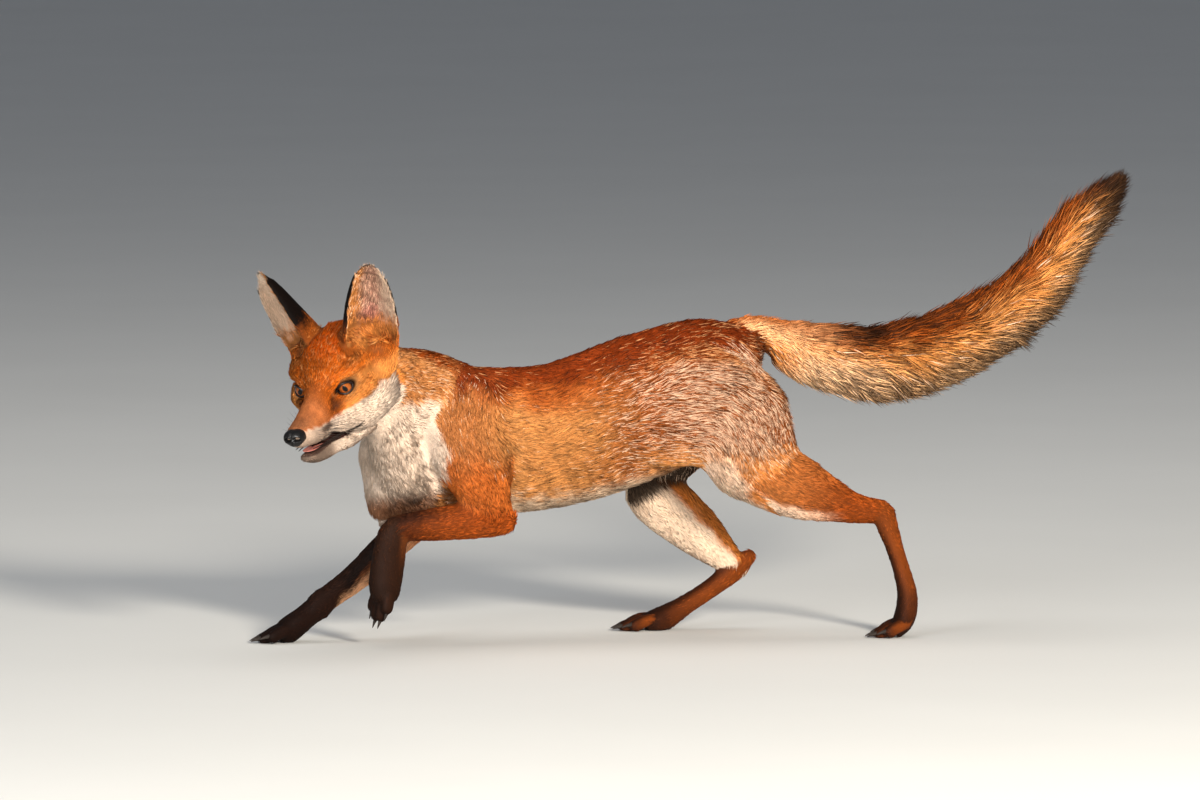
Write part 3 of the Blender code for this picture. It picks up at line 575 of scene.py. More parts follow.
# ------------------------------------------------------------------ 2. coat: lie and markings
# What the coat is like at each place of the hide: how the hair lies, how long it is, its colour at root and
# tip. Hide and tufts take their colours from the one rule below. Colours are linear, and the numbers in ease
# and exp are places, in millimetres or along and round a tube.

EAR_GAP, PAW_GAP, EAR_ROOT_GAP = 0.75, 0.85, 1.3  # under 1, a tube wins places from its neighbours
LIE_FADE = 7


def read_lie(points):
    """Reads every tube at the points: which part is nearest, and its own coordinates there.

    A tube's distance is the elliptical one to its nearest ring. t runs along the path, h is 1 at the front or
    top and -1 behind or below, s is the width. The lie blends the tubes' paths, less so with distance.
    """
    best = np.full(len(points), 1e9)
    part = np.zeros(len(points), int)
    t, h, s = (np.zeros(len(points)) for _ in range(3))
    gaps, ways = [], []
    for number, tube in enumerate(TUBES):
        size = tube["outer"].mean(axis=1)
        gap = np.full(len(points), 1e9)
        row = np.zeros(len(points), int)
        for j, centre in enumerate(tube["centres"]):
            away = points - centre
            x, y, z = away @ tube["side"][j], away @ tube["face"][j], away @ tube["along"][j]
            wide, front, back = tube["outer"][j]
            y = np.where(y > 0, y / front, y / back)
            reach = np.sqrt((x / wide) ** 2 + y**2 + (z / size[j]) ** 2)
            closer = reach < gap
            gap[closer], row[closer] = reach[closer], j
        if "shell" in tube:
            gap *= EAR_GAP
        elif tube["part"].endswith("_paw"):
            gap *= PAW_GAP
        elif not tube["comb"]:
            gap *= EAR_ROOT_GAP
        away = points - tube["centres"][row]
        x = (away * tube["side"][row]).sum(axis=1) / tube["outer"][row, 0]
        y = (away * tube["face"][row]).sum(axis=1)
        y = np.where(y > 0, y / tube["outer"][row, 1], y / tube["outer"][row, 2])
        closer = gap < best
        best[closer], part[closer] = gap[closer], number
        t[closer], h[closer], s[closer] = tube["t"][row[closer]], y[closer], x[closer]
        if tube["comb"]:
            gaps.append(gap)
            ways.append(tube["along"][row])
    weights = np.exp(-LIE_FADE * (np.array(gaps) - np.min(gaps, axis=0)))
    return dict(part=part, t=t, h=h, s=s, lie=unit(np.einsum("kn,kni->ni", weights, np.array(ways))))


def breast_hangs():
    """On the breast the hair lies down and back, across the end of the trunk's path."""
    trunk = next(tube for tube in TUBES if tube["part"] == "trunk")
    share = np.clip((-118 - trunk["centres"][:, 0]) / 40, 0, 1)[:, None]
    trunk["along"] = unit(trunk["along"] * (1 - share) + share * np.array([0.35, 0, -0.94]))


breast_hangs()
PARTS = np.array([tube["part"] for tube in TUBES])


def ease(value, start, end):
    """0 before start, 1 after end, and an S-shaped rise between."""
    x = np.clip((np.asarray(value, float) - start) / (end - start), 0, 1)
    return x * x * (3 - 2 * x)


WAVE = np.random.default_rng(11).normal(size=(8, 3))


def ripple(points, size, seed=0.0):
    """Smooth noise from -1 to 1: the mean of eight sine waves that run in different directions."""
    steep = unit(WAVE) * (1 + 0.5 * np.sin(np.arange(8)))[:, None] * 2 * math.pi / size
    phase = np.arange(8) * 1.7 + seed
    bend = 1.3 * np.sin(points[:, [1, 2, 0]] @ steep.T * 0.6 + seed)
    return np.sin(points @ steep.T + phase + bend).mean(axis=1) * 1.8


def layered(colour, *layers):
    """Lays colours over the first one, in turn, each by a mask that runs from 0 to 1."""
    colour = np.asarray(colour)
    for mask, other in layers:
        mask = np.asarray(mask)[:, None]
        colour = colour * (1 - mask) + np.asarray(other) * mask
    return colour


WHITE, CREAM, PALE = (0.74, 0.58, 0.46), (0.78, 0.53, 0.35), (0.92, 0.64, 0.46)
DARK, BLACK, SHADE = (0.040, 0.012, 0.004), (0.010, 0.005, 0.003), (0.030, 0.016, 0.009)


def body_coat(points, normals, rough, fine):
    """Trunk and tops of the legs: dark red back, orange ribs, an orange lower rear flank made lighter as
    painted light, pale belly with painted shade between the thighs; and the grizzle's share.
    """
    x, _, z = points.T
    ridge = np.interp(x, [-190, -120, -60, -20, 40, 95, 150, 190], [262, 268, 269, 271, 290, 305, 309, 296])
    down = (ridge - z + 6 * rough) * np.interp(x, [-110, -40, 100, 150], [2.0, 1.25, 1.0, 1.5])
    low = ease(-z + 4 * rough, -205, -170) * ease(x, 40, 80)
    above = ease(normals[:, 2] + 0.1 * fine, -0.05, 0.25)
    belly = ease(-normals[:, 2] + 0.12 * fine, 0.5, 0.85) * ease(-z, -172, -150) * (x > -120)
    colour = layered(
        (0.68, 0.29, 0.088),
        (1 - ease(down, 30, 75), (0.66, 0.17, 0.03)),
        (ease(-x + 5 * fine, 60, 110), (0.58, 0.215, 0.065)),
        (ease(x + 12 * rough, -15, 70), (0.42, 0.11, 0.022)),
        # The lower rear flank's orange is a real marking, made lighter than the fur is as painted light where
        # it faces down into shade.
        (low, (0.86, 0.36, 0.11)),
        (0.95 * (1 - ease(down, 14, 50)) * above * ease(-x, -185, -165), (0.23, 0.032, 0.005)),
        (belly, (0.62, 0.44, 0.30)),
        # Painted shade, partly dark fur: the belly turns dark brown between the thighs.
        (belly * ease(x, 60, 85), (0.09, 0.045, 0.025)),
    )
    grizzle = 1.1 * ease(x + 14 * rough, -20, 145) * ease(z, 125, 165) * (0.15 + 0.85 * ease(down, 12, 45))
    grizzle = grizzle * (1 - 0.7 * low) * (1 - 0.4 * ease(x, 170, 200))
    grizzle = grizzle + 0.08 * ease(-x, 30, 70) * (1 - 0.6 * ease(down, 30, 60))
    return colour, grizzle * (1 - belly)


def bib_share(points, normals, fine):
    """The white throat and breast, which reach back behind the cheek and end before the shoulder."""
    x, y, z = points.T
    front = -x + 4 * fine - np.interp(z, [120, 160, 195, 222, 240, 262], [150, 134, 126, 140, 133, 131])
    low = ease(-z - 3 * fine, -246, -236)
    inner = np.where(y < 40, 1.0, ease(-normals[:, 0], -0.1, 0.4))
    inner = inner * (1 - ease(normals[:, 1], 0.4, 0.75) * ease(y, 35, 50))
    return ease(front, 0, 7) * low * inner


def brush_coat(t, h, fine):
    """The brush: creamy orange root, brown grizzled with black, a dark spot above, a black end."""
    root = ease(t + 0.02 * fine, 0.68, 0.86)
    end = 1 - ease(t + 0.02 * fine + 0.04 * h, 0.19, 0.30)
    spot = np.exp(-(((t - 0.69) / 0.04) ** 2)) * ease(h, 0.3, 0.6)
    colour = layered(
        (0.38, 0.080, 0.010),
        (ease(-h + 0.10 * fine, -0.50, -0.08), (0.90, 0.37, 0.10)),
        (ease(-h, -0.15, 0.3), (0.82, 0.46, 0.22)),
        (root, layered((0.92, 0.50, 0.24), (ease(-h, -0.1, 0.35), (0.82, 0.30, 0.07)))),
        (root * ease(h, 0.35, 0.8), (0.56, 0.14, 0.022)),
        (ease(-h, -0.3, 0.2) * ease(t, 0.62, 0.72) * (1 - ease(t, 0.76, 0.84)), (0.88, 0.54, 0.30)),
        (0.95 * spot, DARK),
        (0.9 * end, (0.06, 0.032, 0.020)),
    )
    below = 0.85 * ease(-h, -0.05, 0.36) * (1 - 0.6 * ease(t, 0.40, 0.58))
    above = (0.8 - 0.35 * ease(t, 0.3, 0.45)) * ease(h, 0.38, 0.62)
    dark_tips = (0.20 + 0.14 * ease(t, 0.4, 0.6) + below + above) * (1 - ease(t, 0.68, 0.80)) + 0.6 * end
    return colour, dark_tips, 13 + 17 * ease(1 - t, 0.08, 0.40) * ease(t, -0.02, 0.24)


def fore_coat(near, t, h, inner, rough, body, points):
    """A foreleg: the shoulder's colour runs into rust, then the wrist and paw turn black-brown."""
    down = -points[:, 2]
    rust = layered((0.66, 0.17, 0.030), (ease(down, -150, -125), (0.46, 0.085, 0.010)))
    arm = layered(body, (ease(down + 6 * rough, -205, -165), rust))
    arm = layered(arm, (0.5 * inner * ease(down, -170, -140), CREAM))
    if near:
        shin = layered(
            (0.50, 0.098, 0.012),
            (ease(t + 0.05 * rough, 0.45, 0.85), (0.15, 0.032, 0.006)),
            (0.9 * ease(h, 0.0, 0.6) * ease(t, 0.4, 0.75), (0.045, 0.014, 0.006)),
        )
    else:
        shin = layered(
            (0.62, 0.15, 0.025),
            (ease(-h, -0.2, 0.5) * ease(t, 0.2, 0.4), (0.80, 0.42, 0.22)),
            (ease(t + 0.05 * rough + 0.35 * h, 0.42, 0.62), (0.028, 0.010, 0.005)),
        )
    foot = np.array((0.060, 0.021, 0.009) if near else (0.030, 0.011, 0.006)) * (1.2 - 0.5 * t[:, None])
    foot = layered(foot, (0.8 * near * ease(-h, 0.2, 0.7) * (1 - ease(t, 0.2, 0.6)), (0.40, 0.10, 0.02)))
    return arm, shin, foot


def hind_coat(near, t, h, inner, rough, body, points):
    """A hindleg: grizzled thigh, orange low on it made lighter as painted light, rust shank with a pale front
    edge, white inside the far one with painted shade at its top, a dark foot.
    """
    down = -points[:, 2]
    arm = layered(
        body,
        # Orange low on the thigh: a real marking, made lighter than the fur is as painted light where it
        # faces down into shade.
        (ease(down + 6 * rough, -205, -155), (0.84, 0.30, 0.075)),
        (inner, (0.78, 0.58, 0.42)),
        (ease(h + 0.12 * rough, 0.22, 0.5) * ease(down, -195, -175), PALE),
    )
    shin = layered(
        (0.72, 0.24, 0.06),
        (ease(t, 0.15, 0.6), (0.45, 0.09, 0.012)),
        (ease(h + 0.12 * rough, 0.34, 0.6) * ease(-t, -0.6, -0.3), PALE),
    )
    if not near:
        # Painted shade, partly dark fur: high inside the far leg, under the belly, turns nearly black.
        groin_shade = ease(-down - np.interp(points[:, 0], [72, 110], [124, 143]), 0, 10)
        groin_shade = 0.95 * groin_shade * ease(inner, 0.0, 0.3)
        arm = layered(arm, (groin_shade, SHADE))
        shin = layered(
            (0.86, 0.64, 0.47),
            (ease(-h + 0.15 * rough, 0.1, 0.5), (0.76, 0.24, 0.045)),
            (ease(-inner, -0.25, -0.05) * ease(-h, -0.35, 0.1), (0.66, 0.18, 0.03)),
            (groin_shade, SHADE),
        )
    foot = layered(
        (0.46, 0.10, 0.015),
        (ease(t + 0.05 * rough, 0.45, 0.9), (0.07, 0.022, 0.01)),
        (0.8 * ease(h, 0.2, 0.8) * ease(t, 0.1, 0.4), DARK),
    )
    return arm, shin, foot


def mouth_height(f):
    """Height of the line between the lips: level under the nose, dipping, then up at the corner."""
    heights = [-38, -39, -39.8, -40.2, -39.8, -39.2, -37.5, -36.2, -35]
    return np.interp(f, [-14, -6, 2, 12, 23, 40, 54, 62, 70], heights)


def mouth_width(f):
    return np.interp(f, [-12, 2, 23, 40, 62, 70], [27, 22, 16.5, 14, 10, 6])


def face_coat(points, normals, fine):
    """The head: rust mask, white cheeks and chin, dark whisker beds, tear marks, lids, lips, painted shade in
    the mouth's gap; hair length.
    """
    head = to_head(points)
    f, left, u = head.T
    width = np.abs(left)
    tear = np.exp(-(((f - 11 + 0.5 * (u + 10)) / 4.5) ** 2) - ((u + 10) / 9) ** 2) * ease(width, 7, 12)
    edge = [-52, -24, -16, -13, -16.5, -20.5, -22.5, -20.5, -15.5]
    edge = np.interp(f, [-78, -68, -45, -20, 0, 14, 26, 38, 62], edge) + 1.6 * fine
    below = ease(edge - u, -2.5, 3)
    whisker = np.exp(-(((f - 30) / 9) ** 2) - (((u + 25.5 - 0.10 * (f - 30)) / 2.6) ** 2))
    line = mouth_height(f)
    lips = np.clip(1.2 * np.exp(-(((u - line) / 1.2) ** 2)), 0, 1) * ease(f, -8, -2)
    # Painted shade: the faces in the mouth's gap, between the lips, are made nearly black.
    inside = (u < line + 3) & (u > line - 8) & (width < mouth_width(f) - 2) & (f > 0)
    inside = inside & (np.abs(normals @ HEAD_TURN[:, 2]) > 0.55)
    eyes = [(head - centre) @ ways.T for centre, ways in map(eye_ways, SIDES)]
    socket = np.min([almond(spot[:, 1], spot[:, 2]) for spot in eyes], axis=0)
    close = np.min([np.linalg.norm(spot, axis=1) for spot in eyes], axis=0) < 17
    face = layered(
        (0.76, 0.162, 0.012),
        (ease(u, 22, 34), (0.84, 0.13, 0.006)),
        (ease(u, 12, 26) * ease(width, 22, 32), (0.68, 0.24, 0.055)),
        (ease(f, 10, 32), (0.82, 0.25, 0.075)),
        (0.6 * ease(f, 34, 62) * ease(u, -20, -10), (0.62, 0.26, 0.12)),
        (ease(width, 18, 27) * ease(-u, -16, -4), (0.82, 0.30, 0.07)),
        (0.9 * np.clip(1.2 * tear, 0, 1), (0.10, 0.028, 0.008)),
        (below * ease(-f, -72, -66), WHITE),
        (below * ease(f, 16, 34), (0.62, 0.45, 0.34)),
        (0.7 * np.clip(1.3 * whisker * ease(width, 7, 11), 0, 1), (0.16, 0.07, 0.04)),
        (lips, BLACK),
        (inside, (0.07, 0.02, 0.017)),
        (0.55 * ease(line - 1.5 - u, 0, 2) * ease(f, 12, 40), (0.24, 0.15, 0.11)),
        (0.35 * close * (1 - ease(socket, 1.45, 1.9)), (0.75, 0.40, 0.18)),
        (close * (1 - ease(socket, 1.1, 1.5)), BLACK),
    )
    length = 3.4 + 3.6 * ease(-f, -34, 5) + 3.5 * ease(-f, 10, 50) - 8 * ease(-f, 50, 66)
    length = length + 6 * ease(width, 28, 44) * ease(-f, 20, 50) + 3 * ease(-u, 45, 62) * ease(-f, -30, 0)
    return face, np.where(close & (socket < 1.6), 1.8, length)


def ear_coat(normals, side, lie, fine):
    """An ear: black back and rim, rust front edge, pale hairs over pink skin inside with a painted shade line
    where it folds; the inside's share.
    """
    t, h, s = lie["t"], lie["h"], lie["s"]
    edge = -side * s
    *_, across, facing = ear_frame(side)
    half_width, depth = ear_sizes(side, np.clip(t, 0, 0.98))
    from_middle = np.outer(s * half_width, HEAD_TURN @ across) + np.outer(h * depth, HEAD_TURN @ facing)
    inward = ease(-(normals * unit(from_middle)).sum(axis=1), -0.05, 0.35)
    thin_rim = np.maximum(ease(np.abs(s), 0.87, 0.95), ease(t, 0.91, 0.955))
    thin_rim = thin_rim * ease(t + 0.1 * edge, 0.50, 0.65)
    if side < 0:
        thin_rim = thin_rim * ease(edge + 2 * ease(t, 0.85, 0.95), 0.0, 0.3)
    # Painted shade: a dark line across the lower inside of the ear, where it folds.
    crease_shade = np.exp(-(((t - 0.24 - 0.12 * edge) / 0.025) ** 2) - ((edge - 0.1) / 0.35) ** 2)
    bare = np.exp(-(((t - 0.30) / 0.13) ** 2) - ((edge + 0.15) / 0.3) ** 2)
    inside = layered(
        (0.56, 0.30, 0.21) if side > 0 else (0.92, 0.70, 0.52),
        (ease(edge + 0.15 * fine, 0.0, 0.5), (0.70, 0.27, 0.075)),
        (ease(-edge + 0.15 * fine, 0.35, 0.8), (0.78, 0.56, 0.40)),
        (0.75 * bare, (0.62, 0.24, 0.19)),
        (0.85 * crease_shade, (0.12, 0.035, 0.02)),
        (1 - ease(t + 0.05 * fine + 0.06 * edge, 0.13, 0.30), (0.76, 0.27, 0.06)),
        (thin_rim, BLACK),
    )
    back = ((0.60, 0.14, 0.018), (ease(t + 0.05 * fine, 0.20, 0.42), BLACK))
    return layered(*back, (inward, inside)), inward


ROOT_SHADE, PALE_ROOT_SHADE = 0.32, 0.76


def markings(points, normals, lie):
    """Colours at root and tip, hair length in millimetres, shares of pale and of dark tips, and the bib."""
    part, t, h = PARTS[lie["part"]], lie["t"], lie["h"]
    x, _, z = points.T
    rough, fine = ripple(points, 26), ripple(points, 9, 2.0)
    body, grizzle = body_coat(points, normals, rough, fine)
    torso = np.isin(part, ["trunk", "neck"])
    neck = ease(-x + 4 * rough, 114, 132) * torso
    bib = bib_share(points, normals, fine) * (torso | np.char.endswith(part, "_upper"))
    colour = layered(
        body,
        (neck, (0.72, 0.29, 0.09)),
        (neck * ease(z + 0.45 * (x + 200) + 3 * fine, 296, 304), (0.40, 0.075, 0.010)),
        (bib, WHITE),
        # Brown low on the breast: partly brown fur, partly painted shade.
        (0.9 * bib * ease(-z - 4 * fine, -160, -145) * ease(z, 105, 125), (0.40, 0.16, 0.07)),
    )
    coat = dict(
        colour=colour,
        length=12.0 + 3 * ease(x, 60, 160) + 1.5 * bib,
        grizzle=(grizzle + 0.2 * neck) * (1 - bib),
        dark_tips=0.10 * ease(x, -120, -60),
    )

    def give(mask, **own):
        """Sets the masked places' own values."""
        for key, value in own.items():
            coat[key] = np.where(mask[:, None] if key == "colour" else mask, value, coat[key])

    tail = part == "tail"
    brush, tips, length = brush_coat(t, h, fine)
    below = ease(t, 0.1, 0.3) * ease(-h, -0.5, 0.2)
    give(tail, colour=brush, dark_tips=tips, length=length, grizzle=0.22 * below)
    for name in LEGS:
        fore, near = name[0] == "f", name[1] == "l"
        inner = ease(normals[:, 1] * (1 if near else -1) + 0.15 * fine, 0.15, 0.6)
        arm, shin, foot = (fore_coat if fore else hind_coat)(near, t, h, inner, rough, body, points)
        arm = layered(arm, (bib * fore, WHITE))
        lower = ease(-z, -190, -150) if fore else ease(-z, -165, -135)
        shin_length = 9.5 - 4 * t + 3 * (not fore) * ease(-h, 0.2, 0.6)
        give(part == name + "_upper", colour=arm, length=12 - 3 * t, grizzle=coat["grizzle"] * (1 - lower))
        give(part == name + "_middle", colour=shin, length=shin_length, grizzle=0.0)
        give(part == name + "_paw", colour=foot, length=5.5 - 2 * t, grizzle=0.0)
        give(part == name + "_toe", colour=foot, length=3.2, grizzle=0.0)
    head = np.isin(part, ["head", "jaw"])
    face, length = face_coat(points, normals, fine)
    crown = ease(to_head(points)[:, 2], -6, 14)
    give(head, colour=face, length=length, grizzle=0.22 * crown, dark_tips=0.06 * crown)
    for side in SIDES:
        own, inward = ear_coat(normals, side, lie, fine)
        own = layered(own, (1 - ease(t + 0.04 * fine, 0.02, 0.16), face))
        length = 4.0 + (3.0 * inward + 2 * (1 - ease(t, 0, 0.3))) * (1 - ease(t, 0.7, 0.9))
        own_grizzle = 0.5 * inward * ease(t, 0.25, 0.4)
        give(part == "ear_" + SIDES[side], colour=own, length=length, grizzle=own_grizzle)

    golden = np.maximum(head, 0.85 * ease(normals[:, 2], 0.25, 0.7) * torso)
    colour = np.clip(coat["colour"] * (1 + 0.09 * rough + 0.07 * fine)[:, None], 0, 1)
    light = ease(colour.mean(axis=1), 0.30, 0.55)[:, None]
    grizzle, dark_tips = np.clip(coat["grizzle"], 0, 1), np.clip(coat["dark_tips"], 0, 1)
    root = colour * (ROOT_SHADE + (PALE_ROOT_SHADE - ROOT_SHADE) * light)
    root = root * (1 - 0.35 * grizzle * ~tail)[:, None]
    fleck = layered((1.0, 0.70, 0.49), (golden, (0.95, 0.42, 0.14)))
    coat.update(colour=colour, root=root, grizzle=grizzle, dark_tips=dark_tips, bib=bib, fleck=fleck)
    return coat


def brush_droops(lie):
    """On the lower half of the brush the hair falls away from the bone, down and back."""
    faces = np.array([tube["face"][0] for tube in TUBES])[lie["part"]]
    droop = ease(0.55 - lie["h"], 0, 0.9) * ease(lie["t"], 0.12, 0.4)
    droop = 0.85 * droop * (PARTS[lie["part"]] == "tail")
    lie["lie"] = unit(lie["lie"] - faces * droop[:, None])


hide_spots = spots_of(hide)
hide_normals = read_all(hide.data.vertex_normals, "vector")
hide_lie = read_lie(hide_spots)
brush_droops(hide_lie)


def set_colours(mesh, name, colours):
    """Stores one linear colour for each point of the mesh."""
    store = mesh.color_attributes.new(name, "FLOAT_COLOR", "POINT")
    full = np.ones((len(mesh.vertices), 4), np.float32)
    full[:, :3] = colours
    store.data.foreach_set("color", full.reshape(-1))


class Sum:
    """A shader value. Python's operators on it add Math nodes."""

    def __init__(self, box, socket):
        self.box, self.socket = box, socket

    def __add__(self, other):
        return self.box.node("ShaderNodeMath", {"operation": "ADD"}, self, other)

    def __mul__(self, other):
        return self.box.node("ShaderNodeMath", {"operation": "MULTIPLY"}, self, other)

    def __rsub__(self, other):
        return self.box.node("ShaderNodeMath", {"operation": "SUBTRACT"}, other, self)


class PaintBox:
    """A new material with one Principled shader, whose constants are set on its own sockets."""

    def __init__(self, name, **constants):
        self.material = bpy.data.materials.new(name)
        self.material.use_nodes = True
        self.tree = self.material.node_tree
        self.shader = self.tree.nodes["Principled BSDF"]
        self.feed(**constants)

    def put(self, socket, value):
        if isinstance(value, Sum):
            self.tree.links.new(value.socket, socket)
        else:
            socket.default_value = value

    def feed(self, **values):
        for key, value in values.items():
            self.put(self.shader.inputs[key.replace("_", " ")], value)

    def node(self, kind, settings, *values, output=0, **named):
        """Adds a node with its settings, and puts values or links on its sockets, by place or by name."""
        made = self.tree.nodes.new(kind)
        for key, value in settings.items():
            setattr(made, key, value)
        for key, value in [*enumerate(values), *named.items()]:
            self.put(made.inputs[key], value)
        return Sum(self, made.outputs[output])

    def in_object(self, kind, **named):
        """A texture node that is fixed to the object's own coordinates."""
        return self.node(kind, {}, Vector=self.node("ShaderNodeTexCoord", {}, output=3), **named)

    def noise(self, scale, detail=2.0):
        return self.in_object("ShaderNodeTexNoise", Scale=scale, Detail=detail)

    def bump(self, height, strength, distance):
        relief = self.node("ShaderNodeBump", {}, Strength=strength, Distance=distance, Height=height)
        self.feed(Normal=relief)

    def mix(self, share, one, other, blend="MIX"):
        """Colour `one` turned into `other` by the share."""
        made = self.tree.nodes.new("ShaderNodeMix")
        made.data_type, made.blend_type = "RGBA", blend
        for place, value in ((0, share), (6, one), (7, other)):
            self.put(made.inputs[place], value)
        return Sum(self, made.outputs[2])

    def mottle(self, share, one, other):
        """The surface's colour runs between two tones, by a share that varies over it."""
        self.feed(Base_Color=self.mix(share, (*one, 1), (*other, 1)))


def hair_material(name, roughness):
    """Hair: the colour comes with the mesh, broken by fine streaks, with a soft sheen."""
    box = PaintBox(name, Specular_IOR_Level=0.08)
    tone = box.node("ShaderNodeAttribute", {"attribute_name": "coat"})
    streak = box.noise(900.0) * 0.5 + 0.75
    streaks = box.node("ShaderNodeCombineColor", {}, streak, streak, streak)
    box.feed(Base_Color=box.mix(1.0, tone, streaks, "MULTIPLY"))
    box.feed(Roughness=box.noise(60.0) * 0.16 + (roughness - 0.08))
    return box


hide_marks = markings(hide_spots, hide_normals, hide_lie)
set_colours(hide.data, "coat", hide_marks["root"] * 0.9)
hide_box = hair_material("hide_hair", 0.7)
hide_box.bump(hide_box.noise(700.0, 3.0), 0.35, 0.0006)
hide.data.materials.append(hide_box.material)
hide.data.shade_smooth()

BODY_NODES = ["trunk", "neck", "head", "jaw", "ear_left", "ear_right"]
BODY_NODES += ["tail_base", "tail_middle", "tail_tip"]
for leg_side in SIDES.values():
    BODY_NODES += ["fore_" + leg_side + "_" + word for word in ("upper_arm", "forearm", "paw")]
    BODY_NODES += ["hind_" + leg_side + "_" + word for word in ("thigh", "shank", "foot")]
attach(hide, "root")
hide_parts(*BODY_NODES)


# ------------------------------------------------------------------ 3. coat: tufts
# The fur itself: thin closed locks of hair that stand on the hide and lie along it, long on the brush and
# short on face and feet. Most are slim pyramids of four triangles. The brush's have ten and bend to the body.

TILE_MARGIN = 0.02
PATCH = 0.003  # side of each tuft's own square on the bake map
TIP_GAIN = 1.15
DARK_TIP = np.array([0.022, 0.010, 0.006])

hide.data.calc_loop_triangles()
HIDE_FACES = read_all(hide.data.loop_triangles, "vertices")
COAT_HAIR = hair_material("coat_hair", 0.62)


def scatter(chosen, count, seed):
    """Roots spread over the hide's triangles, as dense as the weights of their corners in `chosen` ask."""
    rng = np.random.default_rng(seed)
    one, two, three = hide_spots[HIDE_FACES].transpose(1, 0, 2)
    area = np.linalg.norm(np.cross(two - one, three - one), axis=1) / 2
    odds = area * chosen[HIDE_FACES].mean(axis=1)
    face = np.searchsorted(np.cumsum(odds) / odds.sum(), rng.random(count))
    face = HIDE_FACES[np.minimum(face, len(HIDE_FACES) - 1)]
    one, two = np.sort(rng.random((2, count)), axis=0)
    share = np.stack([one, two - one, 1 - two], axis=1)
    nearest = face[np.arange(count), share.argmax(axis=1)]
    lie = {key: hide_lie[key][nearest] for key in ("part", "t", "h", "s")}
    sources = (hide_spots, hide_normals, hide_lie["lie"])
    roots, normals, way = (np.einsum("nk,nki->ni", share, values[face]) for values in sources)
    lie["lie"] = unit(way)
    return roots, unit(normals), lie, rng


def unwrap(lie):
    """The hide rolled off tube by tube, u along it and v round it, each kind of tube in its own tile."""
    kinds, tile = np.unique(PARTS[lie["part"]], return_inverse=True)
    side = math.ceil(math.sqrt(len(kinds)))
    round_it = np.arctan2(lie["h"], lie["s"]) / (2 * math.pi) + 0.5
    own = np.stack([lie["t"], round_it], axis=1) * (1 - 2 * TILE_MARGIN) + TILE_MARGIN
    return (np.stack([tile % side, tile // side], axis=1) + own) / side * (1 - PATCH)


def comb(normals, lie, lift, sway):
    """Hair directions: the lie pressed into the surface, swayed sideways, and lifted off it in degrees."""
    flat = unit(lie - normals * (lie * normals).sum(axis=1)[:, None])
    flat = unit(flat + np.cross(normals, flat) * sway[:, None])
    lift = np.radians(lift)[:, None]
    return flat * np.cos(lift) + normals * np.sin(lift), unit(np.cross(normals, flat))


def tuft_colours(marks, rng):
    """Root, middle and tip colour of each tuft: a random share is pale, by the grizzle, or dark-tipped."""
    count = len(marks["length"])
    spread = 0.24 - 0.13 * ease(marks["colour"].mean(axis=1), 0.3, 0.5)
    tone = np.clip(1 + rng.normal(0, 1, count) * spread, 0.4, 1.7)[:, None]
    grizzle = marks["grizzle"][:, None]
    root = marks["root"] * tone
    tip = marks["colour"] * TIP_GAIN * tone * (1 - 0.25 * grizzle)
    pale = (rng.random((count, 1)) < 0.58 * grizzle) * rng.uniform(0.55, 1.0, (count, 1))
    tip = tip * (1 - pale) + marks["fleck"] * pale
    dark = (rng.random(count) < marks["dark_tips"])[:, None] * rng.uniform(0.7, 1.0, (count, 1))
    tip = tip * (1 - dark) + DARK_TIP * dark
    share = 0.3 + 0.45 * np.maximum(pale, dark)
    return [np.clip(colour, 0, 1) for colour in (root, root * (1 - share) + tip * share, tip)]


def write_tufts(name, points, faces, colours, places):
    """One mesh of many tufts, with the colours on its points and the bake map OFBake on its corners."""
    spots = to_row(points.reshape(-1, 3))
    spots[:, 2] = np.maximum(spots[:, 2], FUR_CLEARANCE)
    piece = mesh_piece(name, spots, [])
    mesh = piece.data
    corners = (faces[None] + np.arange(len(points))[:, None, None] * points.shape[1]).reshape(-1)
    mesh.loops.add(len(corners))
    mesh.polygons.add(len(corners) // 3)
    mesh.loops.foreach_set("vertex_index", corners.astype(np.int32))
    mesh.polygons.foreach_set("loop_start", np.arange(0, len(corners), 3, dtype=np.int32))
    mesh.update(calc_edges=True)
    set_colours(mesh, "coat", colours.reshape(-1, 3))
    bake = mesh.uv_layers.new(name="OFBake")
    bake.data.foreach_set("uv", places.reshape(-1, 2)[corners].astype(np.float32).reshape(-1))
    mesh.materials.append(COAT_HAIR.material)
    mesh.shade_smooth()
    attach(piece, "root")


def straight_shape(roots, normals, lie, raised, sway, length, half):
    """Two corners and a ridge at the root, and the tip."""
    ahead, across = comb(normals, lie, np.clip(raised, 3, 60), sway)
    half = half * np.minimum(1, length / 9 + 0.35)
    base = roots - normals * 0.7
    ridge = base + normals * half * 1.5 + ahead * length * 0.30
    droop = normals * length * np.sin(np.radians(raised))[:, None] * 0.25
    tip = base + ahead * length - droop
    return np.stack([base - across * half, base + across * half, ridge, tip], axis=1)


def bent_shape(roots, normals, lie, raised, sway, length, half):
    """A triangle at the root, a wider one halfway, and a tip that bends to the body."""
    raised = np.clip(raised, 5, 60)
    first, across = comb(normals, lie, raised, sway)
    second, _ = comb(normals, lie, raised * 0.35, sway * 1.25)
    base = roots - normals * 0.8
    middle = base + first * length * 0.45
    aside, rise = across * half, normals * half * 1.3
    at_root = [base - aside * 0.8, base + aside * 0.8, base + rise]
    halfway = [middle - aside, middle + aside, middle + rise * 0.9]
    return np.stack([*at_root, *halfway, middle + second * length * 0.55], axis=1)


